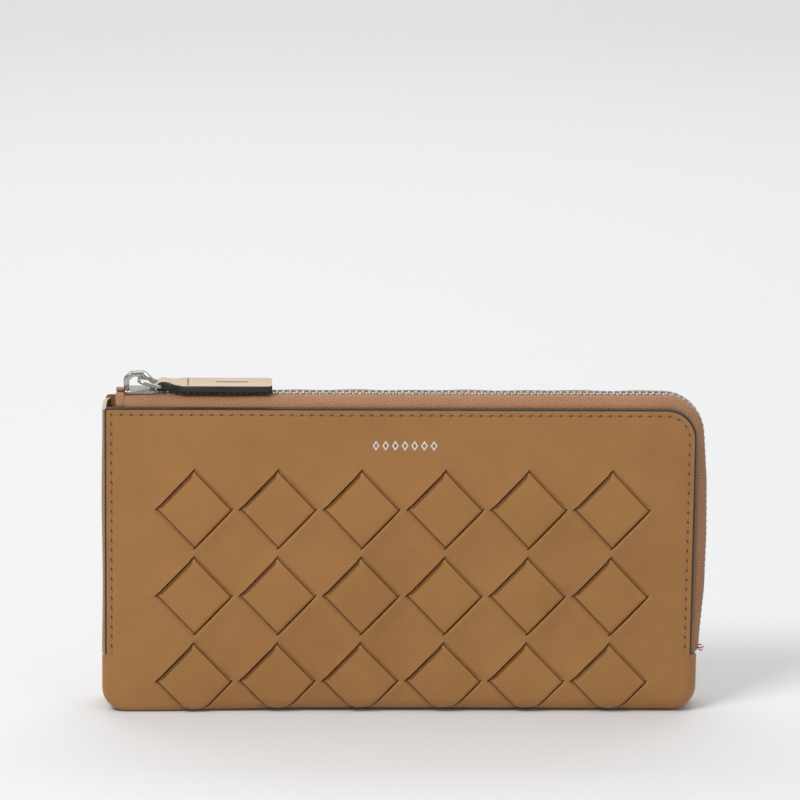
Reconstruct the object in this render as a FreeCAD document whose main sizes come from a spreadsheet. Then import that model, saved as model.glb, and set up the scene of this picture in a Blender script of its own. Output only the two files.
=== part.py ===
"""Long zip wallet with a woven front, as a parametric FreeCAD document, in millimetres.

Frame: X runs along the wallet, the woven front faces -Y, +Z is up, and the origin is the middle
of the flat bottom.  The zip runs along the top and down the right-hand side (+X).
"""
import FreeCAD
import Part
import Sketcher
import math
import os
import re
from FreeCAD import Placement, Rotation, Vector

# ---------------------------------------------------------------- driving dimensions
DIMENSIONS = [
    ("panel_width", 190.0, "width of the leather panels"),
    ("panel_top", 101.0, "height of the panels' top edge"),
    ("half_depth", 10.5, "outer face of each panel from the middle plane"),
    ("leather", 1.6, "thickness of the panel leather"),
    ("corner_top", 10.0, "radius of the upper right corner"),
    ("corner_low", 8.0, "radius of the lower corners"),
    ("corner_left", 1.0, "radius of the upper left corner"),
    ("wrap_top", 19.5, "height of the leather that wraps the ends"),
    ("end_bulge", 1.6, "how far the wrapped ends stand out past the panels"),
    ("fold_height", 3.0, "height of the fold that the front turns about"),
    ("fold_gap", 0.2, "gap between the ends' wrap and the panels"),
    ("base_round", 1.2, "rounding of the bottom's long edges"),
    ("base_half", 86.0, "half length of the flat bottom"),
    ("board", 0.7, "thickness of the stiffening boards"),
    ("lining", 0.4, "thickness of the lining"),
    ("inner_half", 89.2, "half width of the boards and linings"),
    ("inner_low", 4.2, "bottom of the boards and linings"),
    ("inner_top", 94.5, "top of the boards and linings"),
    ("slip_margin", 2.0, "slip pocket's leather outside its room, at each end"),
    ("slip_room", 0.6, "depth of the slip pocket's room"),
    ("slip_wall", 0.4, "thickness of the slip pocket's wall"),
    ("slip_below", 16.0, "slip pocket's mouth under the lining's top"),
    ("strap", 0.8, "thickness of the weaving straps"),
    ("strap_width", 17.5, "width of the weaving straps"),
    ("strap_tail", 6.0, "tail of a strap behind the panel"),
    ("slit_play", 0.1, "play round a strap in its slit"),
    ("column_pitch", 26.9, "pitch of the diamonds along X"),
    ("row_pitch", 28.7, "pitch of the diamonds along Z"),
    ("first_column", -66.3, "middle of the first column"),
    ("first_row", 67.7, "middle of the top row"),
    ("weave_low", 3.4, "lower end of the woven straps"),
    ("stitch_pitch", 3.17, "pitch of the stitching"),
    ("stitch_inset", 2.2, "stitching line from the edge"),
    ("stitch_low", 19.0, "lower end of the panels' stitching"),
    ("stitch_share", 0.72, "share of the pitch that a stitch fills"),
    ("thread_high", 0.4, "how far a stitch stands on its face"),
    ("thread_wide", 0.55, "width of a stitch"),
    ("mark_height", 88.9, "height of the foil lozenges"),
    ("mark_middle", 1.2, "middle of the row of lozenges, along X"),
    ("mark_pitch", 3.1, "pitch of the lozenges"),
    ("mark_side", 1.5, "side of a lozenge"),
    ("foil", 0.06, "thickness of the foil"),
    ("zip_rise", 2.65, "zip tape above the panels' edge"),
    ("tape", 0.5, "thickness of the zip tape"),
    ("tape_start", -88.9, "left end of the zip tape"),
    ("tape_fold", 2.6, "length of the folded end of the tape"),
    ("tape_end", 20.5, "lower end of the zip on the right"),
    ("tape_shoulder", 5.7, "outer end of the tape's flat top, from the middle plane"),
    ("tape_slope", 2.3, "height of the slope from the flat top to the hidden edge"),
    ("fold_thick", 0.6, "extra thickness of the tape's folded end"),
    ("side_turn", 5.3, "lean of the zip where it leaves the corner, in degrees"),
    ("side_radius", 372.0, "radius of the zip's bow down the right-hand side"),
    ("tape_inside", 5.5, "tape hidden behind the panel"),
    ("tooth_pitch", 2.13, "pitch of the zip teeth"),
    ("tooth", 0.9, "thickness of a tooth along the zip"),
    ("tooth_height", 1.3, "height of a tooth"),
    ("tooth_back", 2.4, "outer end of a tooth from the middle plane"),
    ("tooth_tip", 0.9, "tip of a tooth past the middle plane"),
    ("tooth_start", -85.6, "first tooth of the zip"),
    ("tooth_rest", 3.0, "plain zip below the last tooth"),
    ("stop_long", 1.8, "length of the bottom stop along the zip"),
    ("stop_high", 1.7, "height of the bottom stop"),
    ("stop_spot", 1.2, "middle of the bottom stop from the zip's end"),
    ("slider_left", -88.6, "left end of the slider"),
    ("slider_right", -79.3, "right end of the slider"),
    ("slider_half", 4.4, "half width of the slider"),
    ("slider_plate", 0.7, "thickness of the slider's plates"),
    ("slider_room", 0.85, "slider's plates from the tape's middle"),
    ("flange", 0.8, "width of the slider's side flanges"),
    ("tape_slot", 0.45, "half height of the slot for the tape"),
    ("bridge_half", 1.2, "half width of the slider's bridge"),
    ("bridge_top", 110.2, "top of the slider's bridge"),
    ("bridge_wall", 1.0, "thickness of the bridge"),
    ("ring_wire", 0.65, "radius of the ring's wire"),
    ("ring_left", -84.0, "ring's bar under the bridge, along X"),
    ("ring_left_z", 108.2, "ring's bar under the bridge, height"),
    ("ring_right", -76.6, "ring's bar in the pull, along X"),
    ("ring_right_z", 106.2, "ring's bar in the pull, height"),
    ("ring_half", 4.3, "half width of the ring, to its wire's middle"),
    ("ring_bend", 1.6, "radius of the ring's corners"),
    ("ring_play", 0.1, "play between the ring's wire and the pull"),
    ("pull_leather", 1.3, "thickness of each layer of the pull"),
    ("pull_half", 6.5, "half width of the pull"),
    ("pull_neck", 3.3, "half width of the pull at the ring"),
    ("pull_gap", 0.05, "half gap between the pull's layers"),
    ("pull_corner", 1.5, "cut at the pull's far corners"),
    ("pull_seam", 8.2, "pull's cross seam from the ring's bar"),
    ("pull_end", -41.4, "far end of the pull"),
    ("slot_sheet", 0.5, "thickness of a card slot's leather"),
    ("slot_top", 80.0, "top of the rear card slot"),
    ("slot_step", 10.0, "step between card slots"),
    ("column_gap", 1.5, "half gap between the two columns of slots"),
    ("coin_front", -1.4, "front face of the coin pocket"),
    ("coin_back", 1.6, "back face of the coin pocket"),
    ("coin_wall", 0.5, "thickness of the coin pocket's walls"),
    ("coin_top", 86.0, "top of the coin pocket's walls"),
    ("coin_half", 88.0, "half width of the coin pocket"),
    ("coin_zip", 91.0, "height of the coin pocket's zip"),
    ("coin_slider_from", -85.0, "left end of the coin zip's slider"),
    ("coin_slider_long", 8.0, "length of the coin zip's slider"),
    ("coin_slider_half", 3.1, "half width of the coin zip's slider"),
    ("coin_cheek", 0.8, "thickness of the coin slider's cheeks and roof"),
    ("coin_eye", 2.1, "axis of the coin slider's tab over its zip"),
    ("tab_long", 22.0, "length of the coin slider's tab"),
    ("tab_wide", 4.6, "width of the coin slider's tab"),
    ("tab_thick", 0.9, "thickness of the coin slider's tab"),
    ("tab_window", 4.45, "length of the window in the tab"),
]

doc = FreeCAD.newDocument("zip_wallet")
sheet = doc.addObject("Spreadsheet::Sheet", "Sizes")
for row, (alias, value, meaning) in enumerate(DIMENSIONS, start=1):
    sheet.set(f"A{row}", meaning)
    sheet.set(f"B{row}", str(value))
    sheet.setAlias(f"B{row}", alias)
doc.recompute()

ALIASES = {alias for alias, value, meaning in DIMENSIONS}
nodes = []


# ---------------------------------------------------------------- helpers
def bound(expression):
    """The expression with each driving dimension named as a cell of the sheet."""
    return re.sub(r"[a-z][a-z_]+", lambda word: "Sizes." + word.group()
                  if word.group() in ALIASES else word.group(), expression)


def number(expression):
    """The value that the sheet gives an expression."""
    return float(sheet.evalExpression(bound(expression)))


def keep(thing, label):
    """Counts an object as a sub-part, under the name of its file."""
    thing.Label = label
    nodes.append(thing)
    return thing


def new_body(label):
    return doc.addObject("PartDesign::Body", label + "_body")


def outline(body, role, points, offset="0"):
    """A closed sketch through points, each a pair of expressions, on one of the body's planes."""
    plane = next(f for f in body.Origin.OriginFeatures if f.Role == role)
    sketch = body.newObject("Sketcher::SketchObject", body.Name + "_outline")
    sketch.AttachmentSupport = [(plane, "")]
    sketch.MapMode = "FlatFace"
    sketch.setExpression(".AttachmentOffset.Base.z", bound(offset))
    places = [Vector(number(a), number(b), 0) for a, b in points]
    count = len(places)
    for i in range(count):
        sketch.addGeometry(Part.LineSegment(places[i], places[(i + 1) % count]), False)
    for i in range(count):
        sketch.addConstraint(Sketcher.Constraint("Coincident", i, 2, (i + 1) % count, 1))
    for i, pair in enumerate(points):
        for kind, expression in zip(("DistanceX", "DistanceY"), pair):
            limit = Sketcher.Constraint(kind, -1, 1, i, 1, number(expression))
            index = sketch.addConstraint(limit)
            sketch.setExpression(f"Constraints[{index}]", bound(expression))
    return sketch


def pad(body, sketch, length):
    feature = body.newObject("PartDesign::Pad", body.Name + "_pad")
    feature.Profile = sketch
    feature.setExpression("Length", bound(length))
    doc.recompute()
    return feature


def round_edges(body, base, along, spots, radius):
    """Rounds the edges parallel to one axis that stand at the given pairs of coordinates."""
    others = [axis for axis in "xyz" if axis != along]
    wanted = [tuple(number(value) for value in spot) for spot in spots]
    names = []
    for i, edge in enumerate(base.Shape.Edges, start=1):
        start, end = edge.Vertexes[0].Point, edge.Vertexes[-1].Point
        place = [getattr(start, axis) for axis in others]
        straight = all(abs(getattr(start, axis) - getattr(end, axis)) < 1e-6 for axis in others)
        if straight and any(math.dist(place, spot) < 1e-3 for spot in wanted):
            names.append(f"Edge{i}")
    fillet = body.newObject("PartDesign::Fillet", body.Name + "_round")
    fillet.Base = (base, names)
    fillet.setExpression("Radius", bound(radius))
    doc.recompute()
    return fillet


def upright_plate(label, x_range, y_range, z_range, corners=()):
    """A plate that faces Y, with some of its corners rounded: (x, z, radius) for each."""
    body = new_body(label)
    points = [(x_range[0], z_range[0]), (x_range[1], z_range[0]),
              (x_range[1], z_range[1]), (x_range[0], z_range[1])]
    sketch = outline(body, "XZ_Plane", points, f"-({y_range[1]})")
    feature = pad(body, sketch, f"({y_range[1]}) - ({y_range[0]})")
    for x, z, radius in corners:
        feature = round_edges(body, feature, "y", [(x, z)], radius)
    body.Tip = feature
    return body


def box(label, x_range, y_range, z_range):
    """A plain block between pairs of expressions."""
    block = doc.addObject("Part::Box", label + "_block")
    sides = zip(("Length", "Width", "Height"), "xyz", (x_range, y_range, z_range))
    for size, axis, (low, high) in sides:
        block.setExpression(size, bound(f"({high}) - ({low})"))
        block.setExpression(f"Placement.Base.{axis}", bound(low))
    return block


def joined(kind, label, first, second):
    """A boolean of two objects: Cut, Fuse or Common."""
    result = doc.addObject("Part::" + kind, label)
    result.Base = first
    result.Tool = second
    return result


def group(label, shapes):
    """Small separate solids that share one node."""
    feature = doc.addObject("Part::Feature", label + "_group")
    feature.Shape = Part.makeCompound(shapes)
    return feature


def block_at(place, size, turn=0.0):
    """A small block centred on a place, turned about Y."""
    solid = Part.makeBox(size[0], size[1], size[2])
    solid.translate(Vector(-size[0] / 2, -size[1] / 2, -size[2] / 2))
    solid.Placement = Placement(place, Rotation(Vector(0, 1, 0), turn)) * solid.Placement
    return solid


HALF = "panel_width / 2"
FRONT_IN = "-half_depth + leather"
BACK_IN = "half_depth - leather"

# ---------------------------------------------------------------- weaving straps and front panel
COLUMNS, ROWS = 6, 3
strap_turn = math.degrees(math.atan2(number("row_pitch"), number("column_pitch")))
strap_step = "sqrt(column_pitch ^ 2 + row_pitch ^ 2)"


def strap_profile(count):
    """Zigzag section of a strap that shows in front of the panel count times."""
    front = [("-strap_width / 2 - strap_tail", FRONT_IN)]
    rear = [("-strap_width / 2 - strap_tail", FRONT_IN + " + strap")]
    for k in range(count):
        middle = f"{k} * {strap_step}"
        low, high = f"{middle} - strap_width / 2", f"{middle} + strap_width / 2"
        front += [(low + " - strap / 2", FRONT_IN), (low + " - strap / 2", "-half_depth - strap"),
                  (high + " + strap / 2", "-half_depth - strap"), (high + " + strap / 2", FRONT_IN)]
        rear += [(low + " + strap / 2", FRONT_IN + " + strap"), (low + " + strap / 2", "-half_depth"),
                 (high + " - strap / 2", "-half_depth"), (high + " - strap / 2", FRONT_IN + " + strap")]
    end = f"{count - 1} * {strap_step} + strap_width / 2 + strap_tail"
    front.append((end, FRONT_IN))
    rear.append((end, FRONT_IN + " + strap"))
    return front + rear[::-1]


def weaving_strap(index, first, count):
    """One strap, running down to the right from the diamond first = (column, row)."""
    label = f"weave_strap_{index}"
    body = new_body(label)
    sketch = outline(body, "XY_Plane", strap_profile(count), "-strap_width / 2")
    body.Tip = pad(body, sketch, "strap_width")
    body.Placement = Placement(Vector(0, 0, 0), Rotation(Vector(0, 1, 0), strap_turn))
    body.setExpression("Placement.Base.x", bound(f"first_column + {first[0]} * column_pitch"))
    body.setExpression("Placement.Base.z", bound(f"first_row - {first[1]} * row_pitch"))
    room = box(label + "_room", (f"-{HALF}", HALF), ("-half_depth * 2", "0"), ("weave_low", "panel_top"))
    keep(joined("Common", label, body, room), label)


starts = [(0, row) for row in range(ROWS - 1, 0, -1)] + [(column, 0) for column in range(COLUMNS)]
for index, (column, row) in enumerate(starts, start=1):
    weaving_strap(index, (column, row), min(COLUMNS - column, ROWS - row))

slits = []
for column in range(COLUMNS):
    for row in range(ROWS):
        middle = Vector(number(f"first_column + {column} * column_pitch"), 0,
                        number(f"first_row - {row} * row_pitch"))
        for side in (-1, 1):
            slit = Part.makeBox(number("strap + 2 * slit_play"), number("half_depth"),
                                number("strap_width + 2 * slit_play"))
            slit.translate(Vector(number(f"{side} * strap_width / 2 - strap / 2 - slit_play"),
                                  number("-half_depth * 1.5"),
                                  number("-strap_width / 2 - slit_play")))
            slit.Placement = Placement(middle, Rotation(Vector(0, 1, 0), strap_turn)) * slit.Placement
            slits.append(slit)
above_fold = Part.makeBox(number("panel_width"), number("panel_width"), number("panel_top"))
above_fold.translate(Vector(number(f"-{HALF}"), number(f"-{HALF}"), number("weave_low")))
slit_tools = group("slits", [slit.common(above_fold) for slit in slits])

panel_low = "fold_height - leather / 2"
front_blank = upright_plate("front_blank", (f"-{HALF}", HALF), ("-half_depth", FRONT_IN),
                            (panel_low, "panel_top"),
                            [(HALF, "panel_top", "corner_top"), (f"-{HALF}", "panel_top", "corner_left"),
                             (f"-{HALF}", panel_low, "corner_low"), (HALF, panel_low, "corner_low")])
keep(joined("Cut", "front_panel", front_blank, slit_tools), "front_panel")

# ---------------------------------------------------------------- back panel and wrapped bottom
keep(upright_plate("back_panel", (f"-{HALF}", HALF), (BACK_IN, "half_depth"), ("leather", "panel_top"),
                   [(HALF, "panel_top", "corner_top"), (f"-{HALF}", "panel_top", "corner_left"),
                    (f"-{HALF}", "leather", "corner_low"), (HALF, "leather", "corner_low")]), "back_panel")

wrap_y = (FRONT_IN + " + fold_gap", BACK_IN)
outer_x = (f"-{HALF} - end_bulge", f"{HALF} + end_bulge")
wrap_outer = upright_plate("wrap_outer", outer_x, wrap_y, ("0", "wrap_top"),
                           [(outer_x[0], "0", "corner_low"), (outer_x[1], "0", "corner_low")])
inner_x = (f"-{HALF} + leather", f"{HALF} - leather")
wrap_inner = upright_plate("wrap_inner", inner_x, ("-half_depth", "half_depth"),
                           ("leather", "wrap_top * 2"),
                           [(inner_x[0], "leather", "corner_low - leather"),
                            (inner_x[1], "leather", "corner_low - leather")])
wrap_band = joined("Cut", "wrap_band", wrap_outer, wrap_inner)
sole_body = new_body("sole")
sole_points = [("-half_depth", "0"), ("half_depth", "0"), ("half_depth", "leather"),
               ("-half_depth", "leather")]
sole_pad = pad(sole_body, outline(sole_body, "YZ_Plane", sole_points, "-base_half"), "2 * base_half")
sole_body.Tip = round_edges(sole_body, sole_pad, "x", [("-half_depth", "0"), ("half_depth", "0")],
                            "base_round")
keep(joined("Fuse", "base_wrap", wrap_band, sole_body), "base_wrap")

keep(box("left_gusset", (f"-{HALF} + 0.4", f"-{HALF} + leather"), wrap_y,
         ("wrap_top + fold_gap", "panel_top - 0.6")), "left_gusset")

# ---------------------------------------------------------------- boards, linings and pockets
inside_x = ("-inner_half", "inner_half")
front_layers = "-half_depth + leather + strap + 0.1"
keep(box("front_board", inside_x, (front_layers, front_layers + " + board"), ("inner_low", "inner_top")),
     "front_board")
keep(box("front_lining", inside_x, (front_layers + " + board", front_layers + " + board + lining"),
         ("inner_low", "inner_top")), "front_lining")
pocket_back = front_layers + " + board + lining"
pocket_block = box("pocket_block", ("-inner_half + slip_margin", "inner_half - slip_margin"),
                   (pocket_back, pocket_back + " + slip_room + slip_wall"),
                   ("inner_low + slip_margin / 2", "inner_top - slip_below"))
pocket_room = box("pocket_room", ("-inner_half + 2 * slip_margin", "inner_half - 2 * slip_margin"),
                  (pocket_back, pocket_back + " + slip_room"),
                  ("inner_low + 1.5 * slip_margin", "inner_top"))
keep(joined("Cut", "front_slip_pocket", pocket_block, pocket_room), "front_slip_pocket")

inside_z = ("inner_low", "inner_top")
keep(box("back_board", inside_x, (BACK_IN + " - board", BACK_IN), inside_z), "back_board")
slot_face = BACK_IN + " - board - lining"
keep(box("back_lining", inside_x, (slot_face, BACK_IN + " - board"), inside_z), "back_lining")
SLOTS = 3
slot_columns = {"left": ("-inner_half + slip_margin", "-column_gap"),
                "right": ("column_gap", "inner_half - slip_margin")}
for side, x_range in slot_columns.items():
    for k in range(SLOTS):
        label = f"card_slot_{side}_{k + 1}"
        layer = (f"{slot_face} - {k + 1} * slot_sheet", f"{slot_face} - {k} * slot_sheet")
        keep(upright_plate(label, x_range, layer, ("inner_low + 1", f"slot_top - {k} * slot_step")), label)

coin_x = ("-coin_half", "coin_half")
coin_z = ("inner_low", "coin_top")
coin_walls = {"front": ("coin_front", "coin_front + coin_wall"),
              "back": ("coin_back - coin_wall", "coin_back")}
for side, wall in coin_walls.items():
    keep(box(f"coin_pocket_{side}", coin_x, wall, coin_z), f"coin_pocket_{side}")
coin_room_y = ("coin_front + coin_wall", "coin_back - coin_wall")
coin_block = box("coin_block", coin_x, coin_room_y, coin_z)
coin_room = box("coin_room", ("-coin_half + coin_wall", "coin_half - coin_wall"), coin_room_y,
                ("inner_low + coin_wall", "coin_top * 2"))
keep(joined("Cut", "coin_pocket_gusset", coin_block, coin_room), "coin_pocket_gusset")
keep(box("pocket_hinge_strip", ("-coin_half + 4", "coin_half - 4"), coin_room_y, ("leather", "inner_low")),
     "pocket_hinge_strip")


# ---------------------------------------------------------------- stitching
def stitch_run(start, end, face):
    """Stitches of thread that lie on a face between two places."""
    step = number("stitch_pitch")
    count = int((end - start).Length // step)
    along = (end - start) / (end - start).Length
    turn = math.degrees(math.atan2(-along.z, along.x))
    size = (step * number("stitch_share"), number("thread_high"), number("thread_wide"))
    return [block_at(start + along * (step * (k + 0.5)) + Vector(0, face, 0), size, turn)
            for k in range(count)]


def panel_stitching(label, face):
    """One row round a panel: up the left side, along the top and down the right side."""
    inset, top, low = number("stitch_inset"), number("panel_top"), number("stitch_low")
    half, corner = number(HALF), number("corner_top")
    reach = (corner - inset) * math.sqrt(0.5)
    bend = Vector(half - corner + reach, 0, top - corner + reach)
    route = [Vector(-half + inset, 0, low), Vector(-half + inset, 0, top - inset),
             Vector(half - corner, 0, top - inset), bend, Vector(half - inset, 0, top - corner),
             Vector(half - inset, 0, low)]
    shapes = []
    for start, end in zip(route, route[1:]):
        shapes += stitch_run(start, end, face)
    keep(group(label, shapes), label)


panel_stitching("front_stitching", number("-half_depth - thread_high / 2"))
panel_stitching("back_stitching", number("half_depth + thread_high / 2"))
slot_thread = []
front_slot_top = number(f"slot_top - {SLOTS - 1} * slot_step")
front_slot_face = number(f"{slot_face} - {SLOTS} * slot_sheet - thread_high / 2")
for seam in ("-inner_half + slip_margin + 1", "-column_gap - 1", "column_gap + 1",
             "inner_half - slip_margin - 1"):
    foot = Vector(number(seam), 0, number("inner_low + 2"))
    slot_thread += stitch_run(foot, Vector(foot.x, 0, front_slot_top), front_slot_face)
keep(group("card_slot_stitching", slot_thread), "card_slot_stitching")

# a row of small foil lozenges in place of lettering
MARKS = 7
mark_size = (number("mark_side"), number("foil"), number("mark_side"))
mark_middle = Vector(number("mark_middle"), number("-half_depth - foil / 2"), number("mark_height"))
mark_step = Vector(number("mark_pitch"), 0, 0)
lozenges = [block_at(mark_middle + mark_step * (k - (MARKS - 1) / 2), mark_size, 45)
            for k in range(MARKS)]
keep(group("front_foil_mark", lozenges), "front_foil_mark")

# ---------------------------------------------------------------- zip tapes
RIDGE = "panel_top + zip_rise"


def tape_section(side, spread):
    """Section of one tape: hidden edge, slope and flat top; spread thickens it outwards."""
    edge, inner = FRONT_IN + " + 0.1", FRONT_IN + " + 0.1 + tape"
    low = f"{RIDGE} - zip_rise - tape_inside"
    half = "tape / 2"
    top = f"{RIDGE} + {half} + {spread}"
    points = [(edge, low), (edge, f"{RIDGE} - tape_slope + {spread}"), ("-tape_shoulder", top),
              ("-tooth_back", top), ("-tooth_back", f"{RIDGE} - {half}"),
              ("-tape_shoulder + 0.2", f"{RIDGE} - {half}"), (inner, f"{RIDGE} - tape_slope - 0.2"),
              (inner, low)]
    if side == "back":
        points = [(f"-({y})", z) for y, z in points]
    return points


def zip_bends():
    """Centres and radii of the zip's bend at the corner and of its bow below it, and its lean there."""
    corner = Vector(number(f"{HALF} - corner_top"), 0, number("panel_top - corner_top"))
    radius, bow = number("corner_top + zip_rise"), number("side_radius")
    lean = math.radians(number("side_turn"))
    side = corner + Vector(math.cos(lean), 0, math.sin(lean)) * (radius - bow)
    return corner, radius, side, bow, lean


def zip_route(body):
    """The zip's line: along the top, round the corner and bowed down the right-hand side."""
    plane = next(f for f in body.Origin.OriginFeatures if f.Role == "XZ_Plane")
    route = body.newObject("Sketcher::SketchObject", body.Name + "_route")
    route.AttachmentSupport = [(plane, "")]
    route.MapMode = "FlatFace"
    left, high, low = number("tape_start"), number(RIDGE), number("tape_end")
    corner, radius, side, bow, lean = zip_bends()
    route.addGeometry(Part.LineSegment(Vector(left, high, 0), Vector(corner.x, high, 0)), False)
    bends = [(corner, radius, lean, math.pi / 2), (side, bow, math.asin((low - side.z) / bow), lean)]
    for centre, reach, start, stop in bends:
        circle = Part.Circle(Vector(centre.x, centre.z, 0), Vector(0, 0, 1), reach)
        route.addGeometry(Part.ArcOfCircle(circle, start, stop), False)
    route.addConstraint([Sketcher.Constraint("Tangent", 0, 2, 1, 2),
                         Sketcher.Constraint("Tangent", 1, 1, 2, 2),
                         Sketcher.Constraint("Horizontal", 0)])
    for arc, expression in ((1, "corner_top + zip_rise"), (2, "side_radius")):
        index = route.addConstraint(Sketcher.Constraint("Radius", arc, number(expression)))
        route.setExpression(f"Constraints[{index}]", bound(expression))
    meeting = "panel_top - corner_top + (corner_top + zip_rise) * sin(side_turn)"
    limits = [("DistanceX", 0, 1, "tape_start"), ("DistanceY", 0, 1, RIDGE),
              ("DistanceX", 0, 2, f"{HALF} - corner_top"), ("DistanceY", 1, 1, meeting),
              ("DistanceY", 2, 1, "tape_end")]
    for kind, line, end, expression in limits:
        index = route.addConstraint(Sketcher.Constraint(kind, -1, 1, line, end, number(expression)))
        route.setExpression(f"Constraints[{index}]", bound(expression))
    return route


def zip_tape(side):
    label = f"zip_tape_{side}"
    body = new_body(label)
    profile = outline(body, "YZ_Plane", tape_section(side, "0"), "tape_start")
    route = zip_route(body)
    pipe = body.newObject("PartDesign::AdditivePipe", label + "_pipe")
    pipe.Profile = profile
    pipe.Spine = (route, ["Edge1", "Edge2", "Edge3"])
    doc.recompute()
    body.Tip = pipe
    keep(body, label)


def tape_fold(side):
    """The tape's end turned over and sewn down, a little thicker than the tape."""
    label = f"zip_tape_fold_{side}"
    body = new_body(label)
    points = tape_section(side, "fold_thick")
    body.Tip = pad(body, outline(body, "YZ_Plane", points, "tape_start - tape_fold"), "tape_fold")
    keep(body, label)


for side in ("front", "back"):
    zip_tape(side)
    tape_fold(side)


# ---------------------------------------------------------------- zip teeth and stops
def place_on_zip(distance):
    """Place and turn at a distance along the zip from the first tooth."""
    corner, radius, side, bow, lean = zip_bends()
    straight = corner.x - number("tooth_start")
    bend = radius * (math.pi / 2 - lean)
    if distance <= straight:
        return Vector(number("tooth_start") + distance, 0, number(RIDGE)), 0.0
    centre, reach, angle = corner, radius, math.pi / 2 - (distance - straight) / radius
    if distance > straight + bend:
        centre, reach, angle = side, bow, lean - (distance - straight - bend) / bow
    spot = centre + Vector(math.cos(angle), 0, math.sin(angle)) * reach
    return spot, 90.0 - math.degrees(angle)


def length_from_first_tooth():
    """Length of the zip from its first tooth to its lower end."""
    corner, radius, side, bow, lean = zip_bends()
    low_angle = math.asin((number("tape_end") - side.z) / bow)
    return corner.x - number("tooth_start") + radius * (math.pi / 2 - lean) + bow * (lean - low_angle)


zip_length = length_from_first_tooth()
for side, sign in (("front", -1), ("back", 1)):
    offset = 0.0 if side == "front" else number("tooth_pitch") / 2
    reach = number("tooth_back + tooth_tip")
    middle_y = sign * (number("tooth_back") - reach / 2)
    teeth = []
    distance = offset
    while distance < zip_length - number("tooth_rest"):
        spot, turn = place_on_zip(distance)
        spot.y = middle_y
        teeth.append(block_at(spot, (number("tooth"), reach, number("tooth_height")), turn))
        distance += number("tooth_pitch")
    keep(group(f"zip_teeth_{side}", teeth), f"zip_teeth_{side}")

end_spot, end_turn = place_on_zip(zip_length - number("stop_spot"))
stop_size = (number("stop_long"), number("2 * tooth_back"), number("stop_high"))
bottom_stop = block_at(end_spot, stop_size, end_turn)
keep(group("zip_bottom_stop", [bottom_stop]), "zip_bottom_stop")

# ---------------------------------------------------------------- slider, bridge, ring and pull
slider_x = ("slider_left", "slider_right")


def slider_plate(label, way):
    """One plate of the slider with its two flanges turned towards the tape."""
    body = new_body(label)
    flat, face = f"{RIDGE} {way} slider_room", f"{RIDGE} {way} (slider_room + slider_plate)"
    lip, inside = f"{RIDGE} {way} tape_slot", "slider_half - flange"
    points = [("-slider_half", lip), ("-slider_half", face), ("slider_half", face), ("slider_half", lip),
              (inside, lip), (inside, flat), (f"-({inside})", flat), (f"-({inside})", lip)]
    body.Tip = pad(body, outline(body, "YZ_Plane", points, "slider_left"), "slider_right - slider_left")
    return body


slider_post = box("slider_post", ("slider_left + 0.2", "slider_left + 2.2"), ("-1", "1"),
                  (f"{RIDGE} - slider_room - 0.2", f"{RIDGE} + slider_room + 0.2"))
slider_shells = joined("Fuse", "slider_shells", slider_plate("slider_top", "+"),
                       slider_plate("slider_low", "-"))
keep(joined("Fuse", "slider_body", slider_shells, slider_post), "slider_body")

bridge = new_body("slider_bridge")
deck = f"{RIDGE} + slider_room + slider_plate"
left_foot, right_foot = "slider_left + 0.3", "slider_right - 0.3"
bridge_points = [(left_foot, deck), (left_foot, "bridge_top - 1.6"), (left_foot + " + 2", "bridge_top"),
                 (right_foot + " - 3", "bridge_top"), (right_foot, "bridge_top - 2.4"), (right_foot, deck),
                 (right_foot + " - bridge_wall", deck), (right_foot + " - bridge_wall", "bridge_top - 2.8"),
                 (right_foot + " - 3.4", "bridge_top - bridge_wall"),
                 (left_foot + " + 2.4", "bridge_top - bridge_wall"),
                 (left_foot + " + bridge_wall", "bridge_top - 2.2"), (left_foot + " + bridge_wall", deck)]
bridge.Tip = pad(bridge, outline(bridge, "XZ_Plane", bridge_points, "-bridge_half"), "2 * bridge_half")
keep(bridge, "slider_bridge")


def ring_shape():
    """A closed link of round wire: two straight bars along Y and two legs, with round corners."""
    left = Vector(number("ring_left"), 0, number("ring_left_z"))
    right = Vector(number("ring_right"), 0, number("ring_right_z"))
    across = Vector(0, number("ring_half"), 0)
    corners = [left - across, right - across, right + across, left + across]
    bend = number("ring_bend")
    edges, ends = [], []
    for k, corner in enumerate(corners):
        before = (corners[k - 1] - corner).normalize()
        after = (corners[(k + 1) % 4] - corner).normalize()
        middle = corner + (before + after) * bend * (1 - math.sqrt(0.5))
        arc = Part.Arc(corner + before * bend, middle, corner + after * bend).toShape()
        edges.append(arc)
        ends.append((corner + before * bend, corner + after * bend))
    path = []
    for k, arc in enumerate(edges):
        path.append(arc)
        path.append(Part.LineSegment(ends[k][1], ends[(k + 1) % 4][0]).toShape())
    wire = Part.Wire(Part.__sortEdges__(path))
    start, way = ends[0][1], (corners[1] - corners[0]).normalize()
    hoop = Part.Wire([Part.Circle(start, way, number("ring_wire")).toShape()])
    return wire.makePipeShell([hoop], True, False)


ring = doc.addObject("Part::Feature", "pull_ring_link")
ring.Shape = ring_shape()
keep(ring, "pull_ring")

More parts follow.
